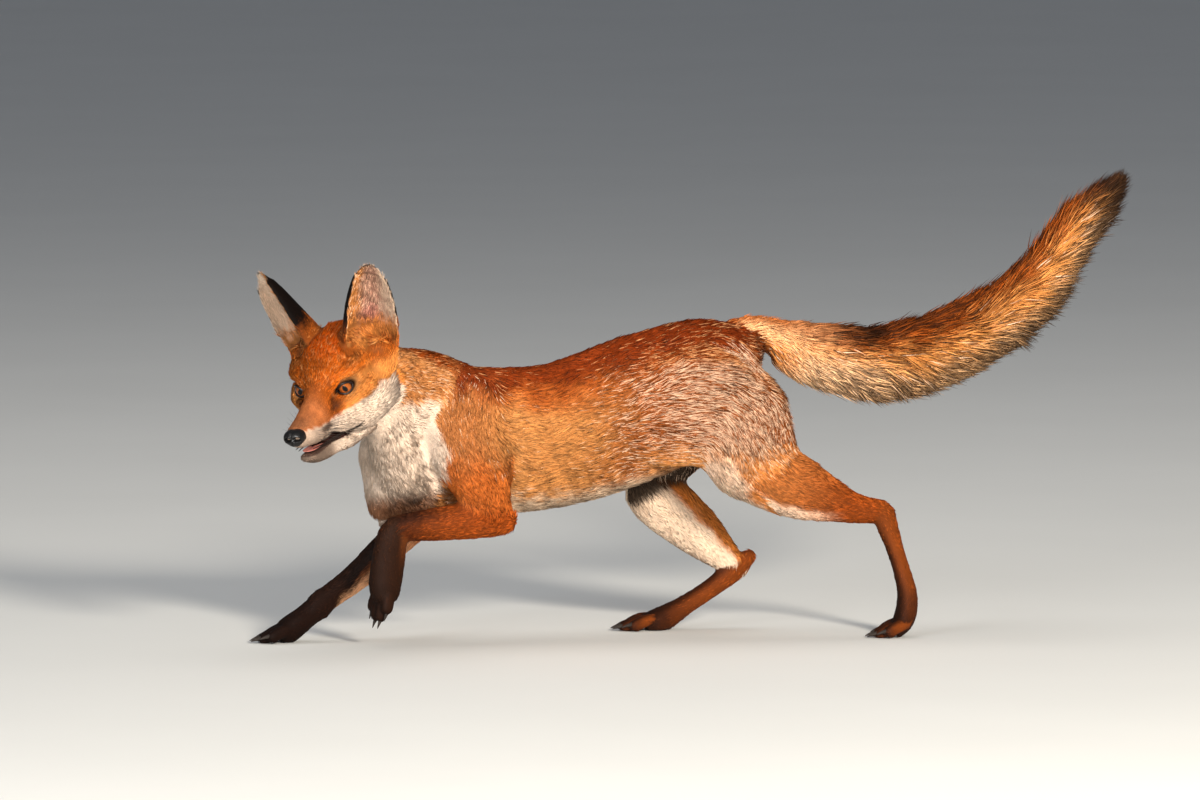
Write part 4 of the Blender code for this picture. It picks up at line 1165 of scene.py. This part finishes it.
# Each kind of tuft: its shape, its faces, its points' places in its square of the bake map and which of the
# three colours they have, its sway (waves' share and sizes, then chance's share), rise and lengths.
STRAIGHT = dict(
    shape=straight_shape,
    faces=[(0, 2, 1), (0, 3, 2), (2, 3, 1), (1, 3, 0)],
    patch=[(0, 0), (1, 0), (0.5, 0.4), (0.5, 1)],
    tones=[0, 0, 1, 2],
    sway=(0.30, 34, 13, 0.10),
    rise=(0.35, 17),
    lengths=(0.72, 1.22),
)
BENT = dict(
    shape=bent_shape,
    faces=[
        (0, 2, 1), (0, 5, 2), (0, 3, 5), (2, 4, 1), (2, 5, 4),
        (1, 3, 0), (1, 4, 3), (3, 6, 5), (5, 6, 4), (4, 6, 3),
    ],
    patch=[(0, 0), (1, 0), (0.5, 0.2), (0.1, 0.5), (0.9, 0.5), (0.5, 0.6), (0.5, 1)],
    tones=[0, 0, 0, 1, 1, 1, 2],
    sway=(0.28, 40, 15, 0.12),
    rise=(0.3, 20),
    lengths=(0.7, 1.25),
)


def tufts(name, chosen, count, seed, width, lift, slot):
    """One piece of fur on the chosen part of the hide, its width in millimetres and its lift in degrees."""
    kind = BENT if slot == "coat_brush" else STRAIGHT
    roots, normals, lie, rng = scatter(chosen, count, seed)
    marks = markings(roots, normals, lie)
    share, broad, narrow, spread = kind["sway"]
    sway = share * ripple(roots, broad, 1.0) + 0.22 * ripple(roots, narrow, 4.0)
    sway = sway + rng.normal(0, spread, count)
    share, broad = kind["rise"]
    raised = lift * (1 + share * ripple(roots, broad, 6.0) + rng.normal(0, 0.25, count))
    length = (marks["length"] * rng.uniform(*kind["lengths"], count))[:, None]
    half = (width * rng.uniform(0.7, 1.3, count) / 2)[:, None]
    points = kind["shape"](roots, normals, lie["lie"], raised, sway, length, half)
    tones = tuft_colours(marks, rng)
    colours = np.stack([tones[i] for i in kind["tones"]], axis=1)
    places = unwrap(lie)[:, None] + np.array(kind["patch"]) * PATCH
    write_tufts("fur_" + name, points, np.array(kind["faces"]), colours, places)


SOLE_TOP, LID_REACH, FACE_BACK, BRUSH_MIDDLE = 7.2, 9.5, -16, 330  # where furs part, in millimetres
hide_part = PARTS[hide_lie["part"]]
hide_x = hide_spots[:, 0]
on_body = np.isin(hide_part, ["trunk", "neck"])
on_tops = np.char.endswith(hide_part, "_upper")
on_feet = np.char.endswith(hide_part, "_paw") | np.char.endswith(hide_part, "_toe")
over_sole = hide_spots[:, 2] > SOLE_TOP
head_spots = to_head(hide_spots)
from_eye = np.min([np.linalg.norm(head_spots - eye_ways(k)[0], axis=1) for k in SIDES], axis=0)
on_head = np.isin(hide_part, ["head", "jaw"]) & (from_eye > LID_REACH)
on_tail = hide_part == "tail"

# Each piece of fur: its name, where it grows, its number of tufts, seed, width, lift and slot.
for fur in (
    ("trunk_front", on_body * (hide_x < 0) * (1 - hide_marks["bib"]), 37000, 21, 1.15, 11, "coat_rust"),
    ("trunk_rear", on_body & (hide_x >= 0), 43000, 22, 1.25, 12, "coat_rust"),
    ("forelimb_tops", on_tops & (hide_x < 0), 24000, 23, 1.1, 10, "coat_rust"),
    ("hindlimb_tops", on_tops & (hide_x >= 0), 34000, 32, 1.2, 11, "coat_rust"),
    ("shins", np.char.endswith(hide_part, "_middle"), 20000, 24, 0.95, 9, "coat_rust"),
    ("feet", on_feet & over_sole, 14000, 25, 0.8, 11, "coat_dark"),
    ("face", on_head & (head_spots[:, 0] > FACE_BACK), 38000, 26, 0.75, 12, "coat_rust"),
    ("cheeks", on_head & (head_spots[:, 0] <= FACE_BACK), 28000, 27, 0.95, 13, "coat_rust"),
    ("ears", np.char.startswith(hide_part, "ear_"), 22000, 28, 0.6, 12, "coat_rust"),
    ("breast", on_body * hide_marks["bib"], 36000, 29, 0.95, 8, "coat_white"),
    ("brush_root", on_tail & (hide_x < BRUSH_MIDDLE), 15000, 30, 1.35, 26, "coat_brush"),
    ("brush_tip", on_tail & (hide_x >= BRUSH_MIDDLE), 16000, 31, 1.35, 26, "coat_brush"),
):
    tufts(*fur)


# ------------------------------------------------------------------ 4. eyes
# Each eye is a glass ball as a taxidermist sets it: an amber iris with an upright oval pupil under a clear
# coat, and a dark rim of lid round it that is drawn out at the inner corner.

IRIS_RADIUS, PUPIL_WIDE, PUPIL_HIGH = 6.3, 2.2, 3.4
FAR_GAZE = 26.0
CORNEA_BULGE, CORNEA_ANGLE = 0.035, 0.62
AMBER, IRIS_EDGE, PUPIL = np.array([0.29, 0.075, 0.014]), (0.012, 0.008, 0.006), (0.003, 0.003, 0.003)


def solid_piece(name, lump, box, slot, *stands_for):
    """A smooth closed piece of the fox, rigid with the whole, and the nodes that it stands for."""
    points, faces = lump
    piece = mesh_piece(name, to_row(points), faces)
    outward(piece)
    piece.data.shade_smooth()
    piece.data.materials.append(box.material)
    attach(piece, "root")
    if stands_for:
        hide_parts(*stands_for)
    return piece


def eyeball(side, rows=40, columns=64):
    """A sphere whose front bulges as a cornea does; the far eye's gaze is turned to the viewer too."""
    centre, ways = eye_ways(side)
    if side < 0:
        ways = ways @ turn_about("Z", FAR_GAZE).T
    polar = np.linspace(0.02, math.pi - 0.02, rows)[:, None]
    cosine, sine = circle(columns)
    radius = (EYE_RADIUS - 0.25) * (1 + CORNEA_BULGE * np.exp(-((polar / CORNEA_ANGLE) ** 4)))
    flat = radius * np.sin(polar)
    ring = np.stack([radius * np.cos(polar) + 0 * cosine, flat * cosine, flat * sine], axis=-1)
    points, faces = closed(ring)
    lump = from_head(points @ ways + centre), faces
    glass = PaintBox("eye_glass", Specular_IOR_Level=0.05)
    glass.feed(Coat_Weight=0.5, Coat_Roughness=0.06, Coat_IOR=1.4)
    glass.feed(Base_Color=glass.node("ShaderNodeAttribute", {"attribute_name": "eye"}))
    glass.feed(Roughness=glass.noise(400.0) * 0.04 + 0.06)
    piece = solid_piece("eyeball_" + SIDES[side], lump, glass, "eye", "eye_" + SIDES[side])
    ahead, outer, up = points.T
    reach, angle = np.hypot(outer, up) / IRIS_RADIUS, np.arctan2(up, outer)
    ray = 0.5 + 0.28 * np.sin(angle * 23) * np.sin(angle * 9 + 1)
    iris = AMBER * (0.55 + 0.75 * ray[:, None]) * (1.15 - 0.75 * reach[:, None] ** 5)
    tilt = math.radians(-LID_TILT)
    level = outer * math.cos(tilt) - up * math.sin(tilt)
    upright = outer * math.sin(tilt) + up * math.cos(tilt)
    slit = np.hypot(level / PUPIL_WIDE, upright / PUPIL_HIGH)
    colour = layered(iris, (ease(reach, 0.90, 1.04), IRIS_EDGE), (1 - ease(slit, 0.9, 1.15), PUPIL))
    set_colours(piece.data, "eye", np.where(ahead[:, None] > 0, np.clip(colour, 0, 1), 0.02))


def tube_lump(path, radii, sides=12, ring_path=False):
    """A round tube along a path. Its open ends are closed, or a ring path's last ring joins the first."""
    path, radii = np.asarray(path, float), np.asarray(radii, float)
    if ring_path:
        along = unit(np.roll(path, -1, axis=0) - np.roll(path, 1, axis=0))
    else:
        along = unit(np.gradient(path, axis=0))
    first = unit(np.cross(along, path - path.mean(axis=0) + (0, 0, 1e-3)))
    second = np.cross(along, first)
    cosine, sine = (wave[:, None] for wave in circle(sides))
    ring = path[:, None] + radii[:, None, None] * (first[:, None] * cosine + second[:, None] * sine)
    if not ring_path:
        return closed(ring)
    points = ring.reshape(-1, 3)
    return points, (grid_faces(len(path) + 1, sides) % len(points)).tolist()


LID_SKIN = PaintBox("lid_skin", Roughness=0.4, Specular_IOR_Level=0.25, Coat_Weight=0.1, Coat_Roughness=0.2)
LID_SKIN.mottle(LID_SKIN.noise(500.0), (0.005, 0.003, 0.003), (0.014, 0.008, 0.006))
LID_SKIN.bump(LID_SKIN.noise(1500.0, 3.0), 0.4, 0.0003)


def lid_rim(side, points=72):
    """A closed rim along the almond, laid on the ball, thicker above and at the inner corner."""
    centre, ways = eye_ways(side)
    cosine, sine = circle(points)
    outer = cosine * lid_opening(cosine, sine)[0]
    up = sine * lid_opening(outer, sine)[1]
    reach = np.hypot(outer, up)
    ahead = np.sqrt(np.clip((EYE_RADIUS + 0.35) ** 2 - reach**2, 2.0, None)) + 0.15
    ahead = ahead + 1.2 * ease(-outer, 6, 10)
    path = from_head(np.stack([ahead, outer, up], axis=1) @ ways + centre)
    radii = 0.75 + 0.35 * ease(sine, 0, 0.8) + 0.25 * ease(-outer, 5, 9)
    solid_piece("lid_" + SIDES[side], tube_lump(path, radii, sides=10, ring_path=True), LID_SKIN, "nose")


for side in SIDES:
    eyeball(side)
    lid_rim(side)


# ------------------------------------------------------------------ 5. nose
# The nose leather: a broad black pad with two comma-shaped nostrils and a groove down the middle, moist and
# finely pebbled.

PAD_WIDE, PAD_UPPER, PAD_LOWER = 10.7, 7.6, 9.2
PAD_BACK, PAD_LONG, PAD_LEVEL = 58.5, 18.0, -18.2
NOSTRIL_APART, NOSTRIL_DEEP, GROOVE_DEEP = 4.6, 5.5, 1.4


def nose_pad(rows=56, columns=96):
    """An egg-shaped pad: a superellipse swept forward, pinched below, with nostrils and groove pressed in."""
    place = np.linspace(0, 1, rows)[:, None]
    cosine, sine = circle(columns)
    swell = np.sqrt(np.clip(1 - (2 * np.clip(place, 0.5, 1) - 1) ** 2.4, 0.0004, 1))
    swell = swell * (0.80 + 0.2 * ease(place, 0, 0.4))
    wide = PAD_WIDE * power(cosine, 0.85) * (1 - 0.28 * ease(-sine, 0.2, 1.0))
    high = np.where(sine > 0, PAD_UPPER, PAD_LOWER) * power(sine, 0.9)
    left, up = swell * wide, swell * high + PAD_LEVEL - 0.6 * place
    f = PAD_BACK + PAD_LONG * place + 0 * wide
    f = f - GROOVE_DEEP * np.exp(-((left / 0.9) ** 2)) * ease(place, 0.5, 0.8)
    for side in SIDES:
        slot_left, slot_up = left * side - NOSTRIL_APART, up + 18.4
        curl = slot_up + 0.25 * slot_left + 0.10 * (slot_left - 1) ** 2
        pit = np.exp(-((slot_left / 2.7) ** 4) - ((curl / 1.75) ** 4)) * ease(place, 0.55, 0.8)
        f = f - NOSTRIL_DEEP * pit
        wing = np.exp(-(((slot_left - 3.0) / 2.2) ** 2) - ((slot_up - 0.5) / 4.0) ** 2)
        left = left + side * 0.9 * wing * ease(place, 0.3, 0.6)
    points, faces = closed(np.stack([f, left, up], axis=-1))
    return from_head(points), faces


leather = PaintBox("nose_leather", Specular_IOR_Level=0.2, Coat_Weight=0.15, Coat_Roughness=0.15)
pebble = leather.in_object("ShaderNodeTexVoronoi", Scale=1150.0)
leather.mottle(pebble, (0.002, 0.002, 0.002), (0.008, 0.007, 0.007))
leather.feed(Roughness=pebble * 0.2 + 0.34)
leather.bump(1.0 - pebble, 0.5, 0.0004)
solid_piece("nose_pad", nose_pad(), leather, "nose", "nose")


# ------------------------------------------------------------------ 6. mouth
# Black lips run along both edges of the slightly open mouth, and the pink tongue lies between them.

LIP_CORNER, LIP_STEPS = -4, 40
TONGUE_BACK, TONGUE_LONG, TONGUE_HALF_WIDTH, TONGUE_HALF_THICK = 27, 28.5, 7.0, 1.5


def lip(side, above):
    """A thin black roll along the mouth's edge, from beside the nose to the corner."""
    start, gap, inset = (57, 1.0, 1.4) if above else (53, -1.5, 2.6)
    f = np.linspace(start, LIP_CORNER, LIP_STEPS)
    aside = mouth_width(f) - inset - 1.2 * (1 - ease(f, -4, 8))
    aside = aside * ease(70 - f, 0, 16) ** 0.5
    path = from_head(np.stack([f, side * aside, mouth_height(f) + gap * ease(f, -4, 14)], axis=1))
    radii = 0.2 + 0.5 * np.sin(np.linspace(0.02, math.pi - 0.05, LIP_STEPS)) ** 0.6
    name = ("lip_upper_" if above else "lip_lower_") + SIDES[side]
    solid_piece(name, tube_lump(path, radii, sides=10), LID_SKIN, "nose")


def tongue_leaf(rows=36, columns=32):
    """A flat leaf: half width and thickness follow the length, with a furrow down the middle of its top."""
    place = np.linspace(0, 1, rows)[:, None]
    cosine, sine = circle(columns)
    f = TONGUE_BACK + TONGUE_LONG * place + 0 * cosine
    shrink = np.sqrt(np.clip(1 - np.clip((place - 0.62) / 0.38, 0, 1) ** 2.2, 0.01, 1))
    left = TONGUE_HALF_WIDTH * shrink * cosine
    furrow = 0.8 * np.exp(-((left / 1.6) ** 2)) * (sine > 0) * shrink
    up = mouth_height(f) - 1.6 + TONGUE_HALF_THICK * shrink * sine - furrow - 1.2 * (place - 0.5) ** 2
    points, faces = closed(np.stack([f, left, up], axis=-1))
    return from_head(points), faces


for side in SIDES:
    lip(side, True)
    lip(side, False)
tongue_box = PaintBox("tongue_flesh", Roughness=0.35, Subsurface_Weight=0.15, Subsurface_Scale=0.003)
tongue_box.feed(Coat_Weight=0.4, Coat_Roughness=0.2)
tongue_box.mottle(tongue_box.noise(260.0), (0.42, 0.12, 0.10), (0.62, 0.24, 0.19))
tongue_box.bump(tongue_box.noise(1800.0, 3.0), 0.4, 0.0004)
solid_piece("tongue_leaf", tongue_leaf(), tongue_box, "tongue", "tongue")


# ------------------------------------------------------------------ 7. claws
# Four blunt dark claws on every foot, curved down, each growing from the end of its toe.

CLAW_LONG, CLAW_SUNK, CLAW_RAISED, CLAW_RADIUS = 12.5, 4.5, 2.4, 2.0


def claw_lump(toe_tip, ahead):
    place = np.linspace(0, 1, 14)
    path = toe_tip + unit(ahead * (1, 1, 0.5)) * (CLAW_LONG * place - CLAW_SUNK)[:, None]
    path[:, 2] += CLAW_RAISED + 0.9 * place - 1.9 * place**2
    return tube_lump(path, CLAW_RADIUS * (1 - place**1.8) + 0.25)


HORN = PaintBox("claw_horn", Roughness=0.5, Specular_IOR_Level=0.2)
HORN.mottle(HORN.noise(300.0), (0.012, 0.009, 0.007), (0.040, 0.030, 0.024))
HORN.bump(HORN.noise(900.0), 0.3, 0.0003)
for name, leg in LEGS.items():
    toe_way = unit(np.array(leg["tip"], float) - np.array(leg["root"], float))
    for number, (_, toe_tip) in enumerate(toe_places(leg)):
        solid_piece("claw_" + name + "_" + str(number), claw_lump(toe_tip, toe_way), HORN, "claw")


# ------------------------------------------------------------------ 8. whiskers
# Long black whiskers in rows on both sides of the muzzle, stiff hairs set in the upper lip.

WHISKER_ROWS, WHISKERS_IN_ROW, WHISKER_RADIUS = 4, 6, 0.20


def whisker(side, row, place, rng, steps=12, sides=5):
    """One stiff hair: it stands out to the side, those behind more backwards, and sags along its length."""
    f = 47 - 5.2 * place + rng.uniform(-1, 1)
    up = -22.5 - 3.0 * row + rng.uniform(-0.6, 0.6)
    left = np.interp(f, [18, 38, 52], [16.0, 15.0, 13.0]) - 0.8
    length = rng.uniform(26, 44) * (0.6 + 0.4 * place / 5)
    way = unit(np.array([-0.35 - 0.1 * place, side * 1.0, 0.18 - 0.20 * row]))
    along = np.linspace(0, 1, steps)[:, None]
    path = np.array([f, side * left, up]) + way * length * along
    path = path + np.array([-0.30, 0, -0.16]) * length * along**2
    one = unit(np.cross(way, (0, 0, 1.0)))
    two = np.cross(way, one)
    cosine, sine = (wave[:, None] for wave in circle(sides))
    radius = WHISKER_RADIUS * (1 - 0.85 * along)
    return closed(path[:, None] + radius[..., None] * (one * cosine + two * sine))


hair_rng = np.random.default_rng(41)
hairs = [
    whisker(side, row, place, hair_rng)
    for side in (1, -1)
    for row in range(WHISKER_ROWS)
    for place in range(WHISKERS_IN_ROW)
]
whisker_points, whisker_faces = joined(hairs)
whisker_box = PaintBox("whisker_hair", Roughness=0.4)
whisker_box.mottle(whisker_box.noise(200.0), (0.01, 0.008, 0.007), (0.05, 0.03, 0.02))
solid_piece("whiskers", (from_head(whisker_points), whisker_faces), whisker_box, "claw")


# ------------------------------------------------------------------ 9. floor, light and camera
# A plain pale floor that curves up behind, a warm key light from the camera's right with cooler ones round
# it, one that shows only as a glint on what is moist, and a long lens.

AZIMUTH, ELEVATION, DISTANCE = -12.0, 5.0, 12.0
FRAME_MIDDLE = (28.8, 233.28)  # to the right and up, in millimetres
VIEW_WIDTH, SENSOR = 1.152, 36.0
FLOOR_WIDTH, FLOOR_DEPTH, BEND_RADIUS, WALL_TOP, FLOOR_LEVEL = 60.0, 17.0, 3.0, 14.0, -0.0002


def sweep():
    """A floor that bends up into a wall: straight, quarter circle and straight, drawn out sideways."""
    profile = [(-FLOOR_DEPTH, 0.0)]
    for turn in np.linspace(0, math.pi / 2, 24):
        profile.append((FLOOR_DEPTH + BEND_RADIUS * math.sin(turn), BEND_RADIUS * (1 - math.cos(turn))))
    profile.append((FLOOR_DEPTH + BEND_RADIUS, WALL_TOP))
    points = [(x, y, z + FLOOR_LEVEL) for y, z in profile for x in (-FLOOR_WIDTH / 2, FLOOR_WIDTH / 2)]
    faces = [(2 * i, 2 * i + 1, 2 * i + 3, 2 * i + 2) for i in range(len(profile) - 1)]
    piece = mesh_piece("studio_floor", points, faces)
    piece.data.shade_smooth()
    paper = PaintBox("studio_paper", Roughness=0.9, Specular_IOR_Level=0.1)
    paper.mottle(paper.noise(3.0), (0.66, 0.66, 0.64), (0.70, 0.70, 0.68))
    piece.data.materials.append(paper.material)


def face_to(holder, place, back):
    """Puts a lamp or camera at a place, with its back in the given direction."""
    holder.location = place
    holder.rotation_mode = "QUATERNION"
    holder.rotation_quaternion = Vector(back).to_track_quat("Z", "Y")
    bpy.context.scene.collection.objects.link(holder)


def lamp(name, place, target, size, watts, colour):
    """A round soft light. The glint shows only as a reflection, and the others never do."""
    light = bpy.data.lights.new(name, "AREA")
    light.shape, light.size, light.energy, light.color = "DISK", size, watts, colour
    holder = bpy.data.objects.new(name, light)
    holder.visible_glossy = name == "glint"
    holder.visible_diffuse = name != "glint"
    face_to(holder, place, Vector(place) - Vector(target))


def long_lens():
    """The camera looks from afar, by azimuth and elevation, at a place a little above the fox's middle."""
    a, e = math.radians(AZIMUTH), math.radians(ELEVATION)
    back = np.array([math.sin(a) * math.cos(e), -math.cos(a) * math.cos(e), math.sin(e)])
    right = np.array([math.cos(a), math.sin(a), 0.0])
    target = to_row(right * FRAME_MIDDLE[0] + np.cross(back, right) * FRAME_MIDDLE[1])
    lens = bpy.data.cameras.new("long_lens")
    lens.sensor_width = SENSOR
    lens.lens = SENSOR * DISTANCE / VIEW_WIDTH
    lens.clip_end = 100.0
    camera = bpy.data.objects.new("long_lens", lens)
    face_to(camera, target + back * DISTANCE, back)
    bpy.context.scene.camera = camera


sweep()
MIDDLE, HEAD_MIDDLE = (0, 0, 0.2), (-0.36, -0.06, 0.25)
lamp("key", (0.9, -4.6, 1.9), MIDDLE, 0.9, 370, (1.0, 0.92, 0.80))
lamp("low", (-0.8, -4.2, 0.35), MIDDLE, 0.6, 60, (1.0, 0.95, 0.88))
lamp("fill", (-2.9, -2.9, 1.3), MIDDLE, 1.6, 46, (0.92, 0.96, 1.0))
lamp("glint", (-2.5, -3.4, 1.1), HEAD_MIDDLE, 0.7, 300, (1.0, 0.98, 0.95))
lamp("top", (0.0, 0.8, 4.0), MIDDLE, 3.0, 50, (1.0, 0.98, 0.95))
sky = bpy.data.worlds.new("studio_air")
sky.use_nodes = True
sky.node_tree.nodes["Background"].inputs["Color"].default_value = (0.80, 0.87, 1.0, 1)
sky.node_tree.nodes["Background"].inputs["Strength"].default_value = 0.22
bpy.context.scene.world = sky
bpy.context.scene.view_settings.view_transform = "Standard"
long_lens()
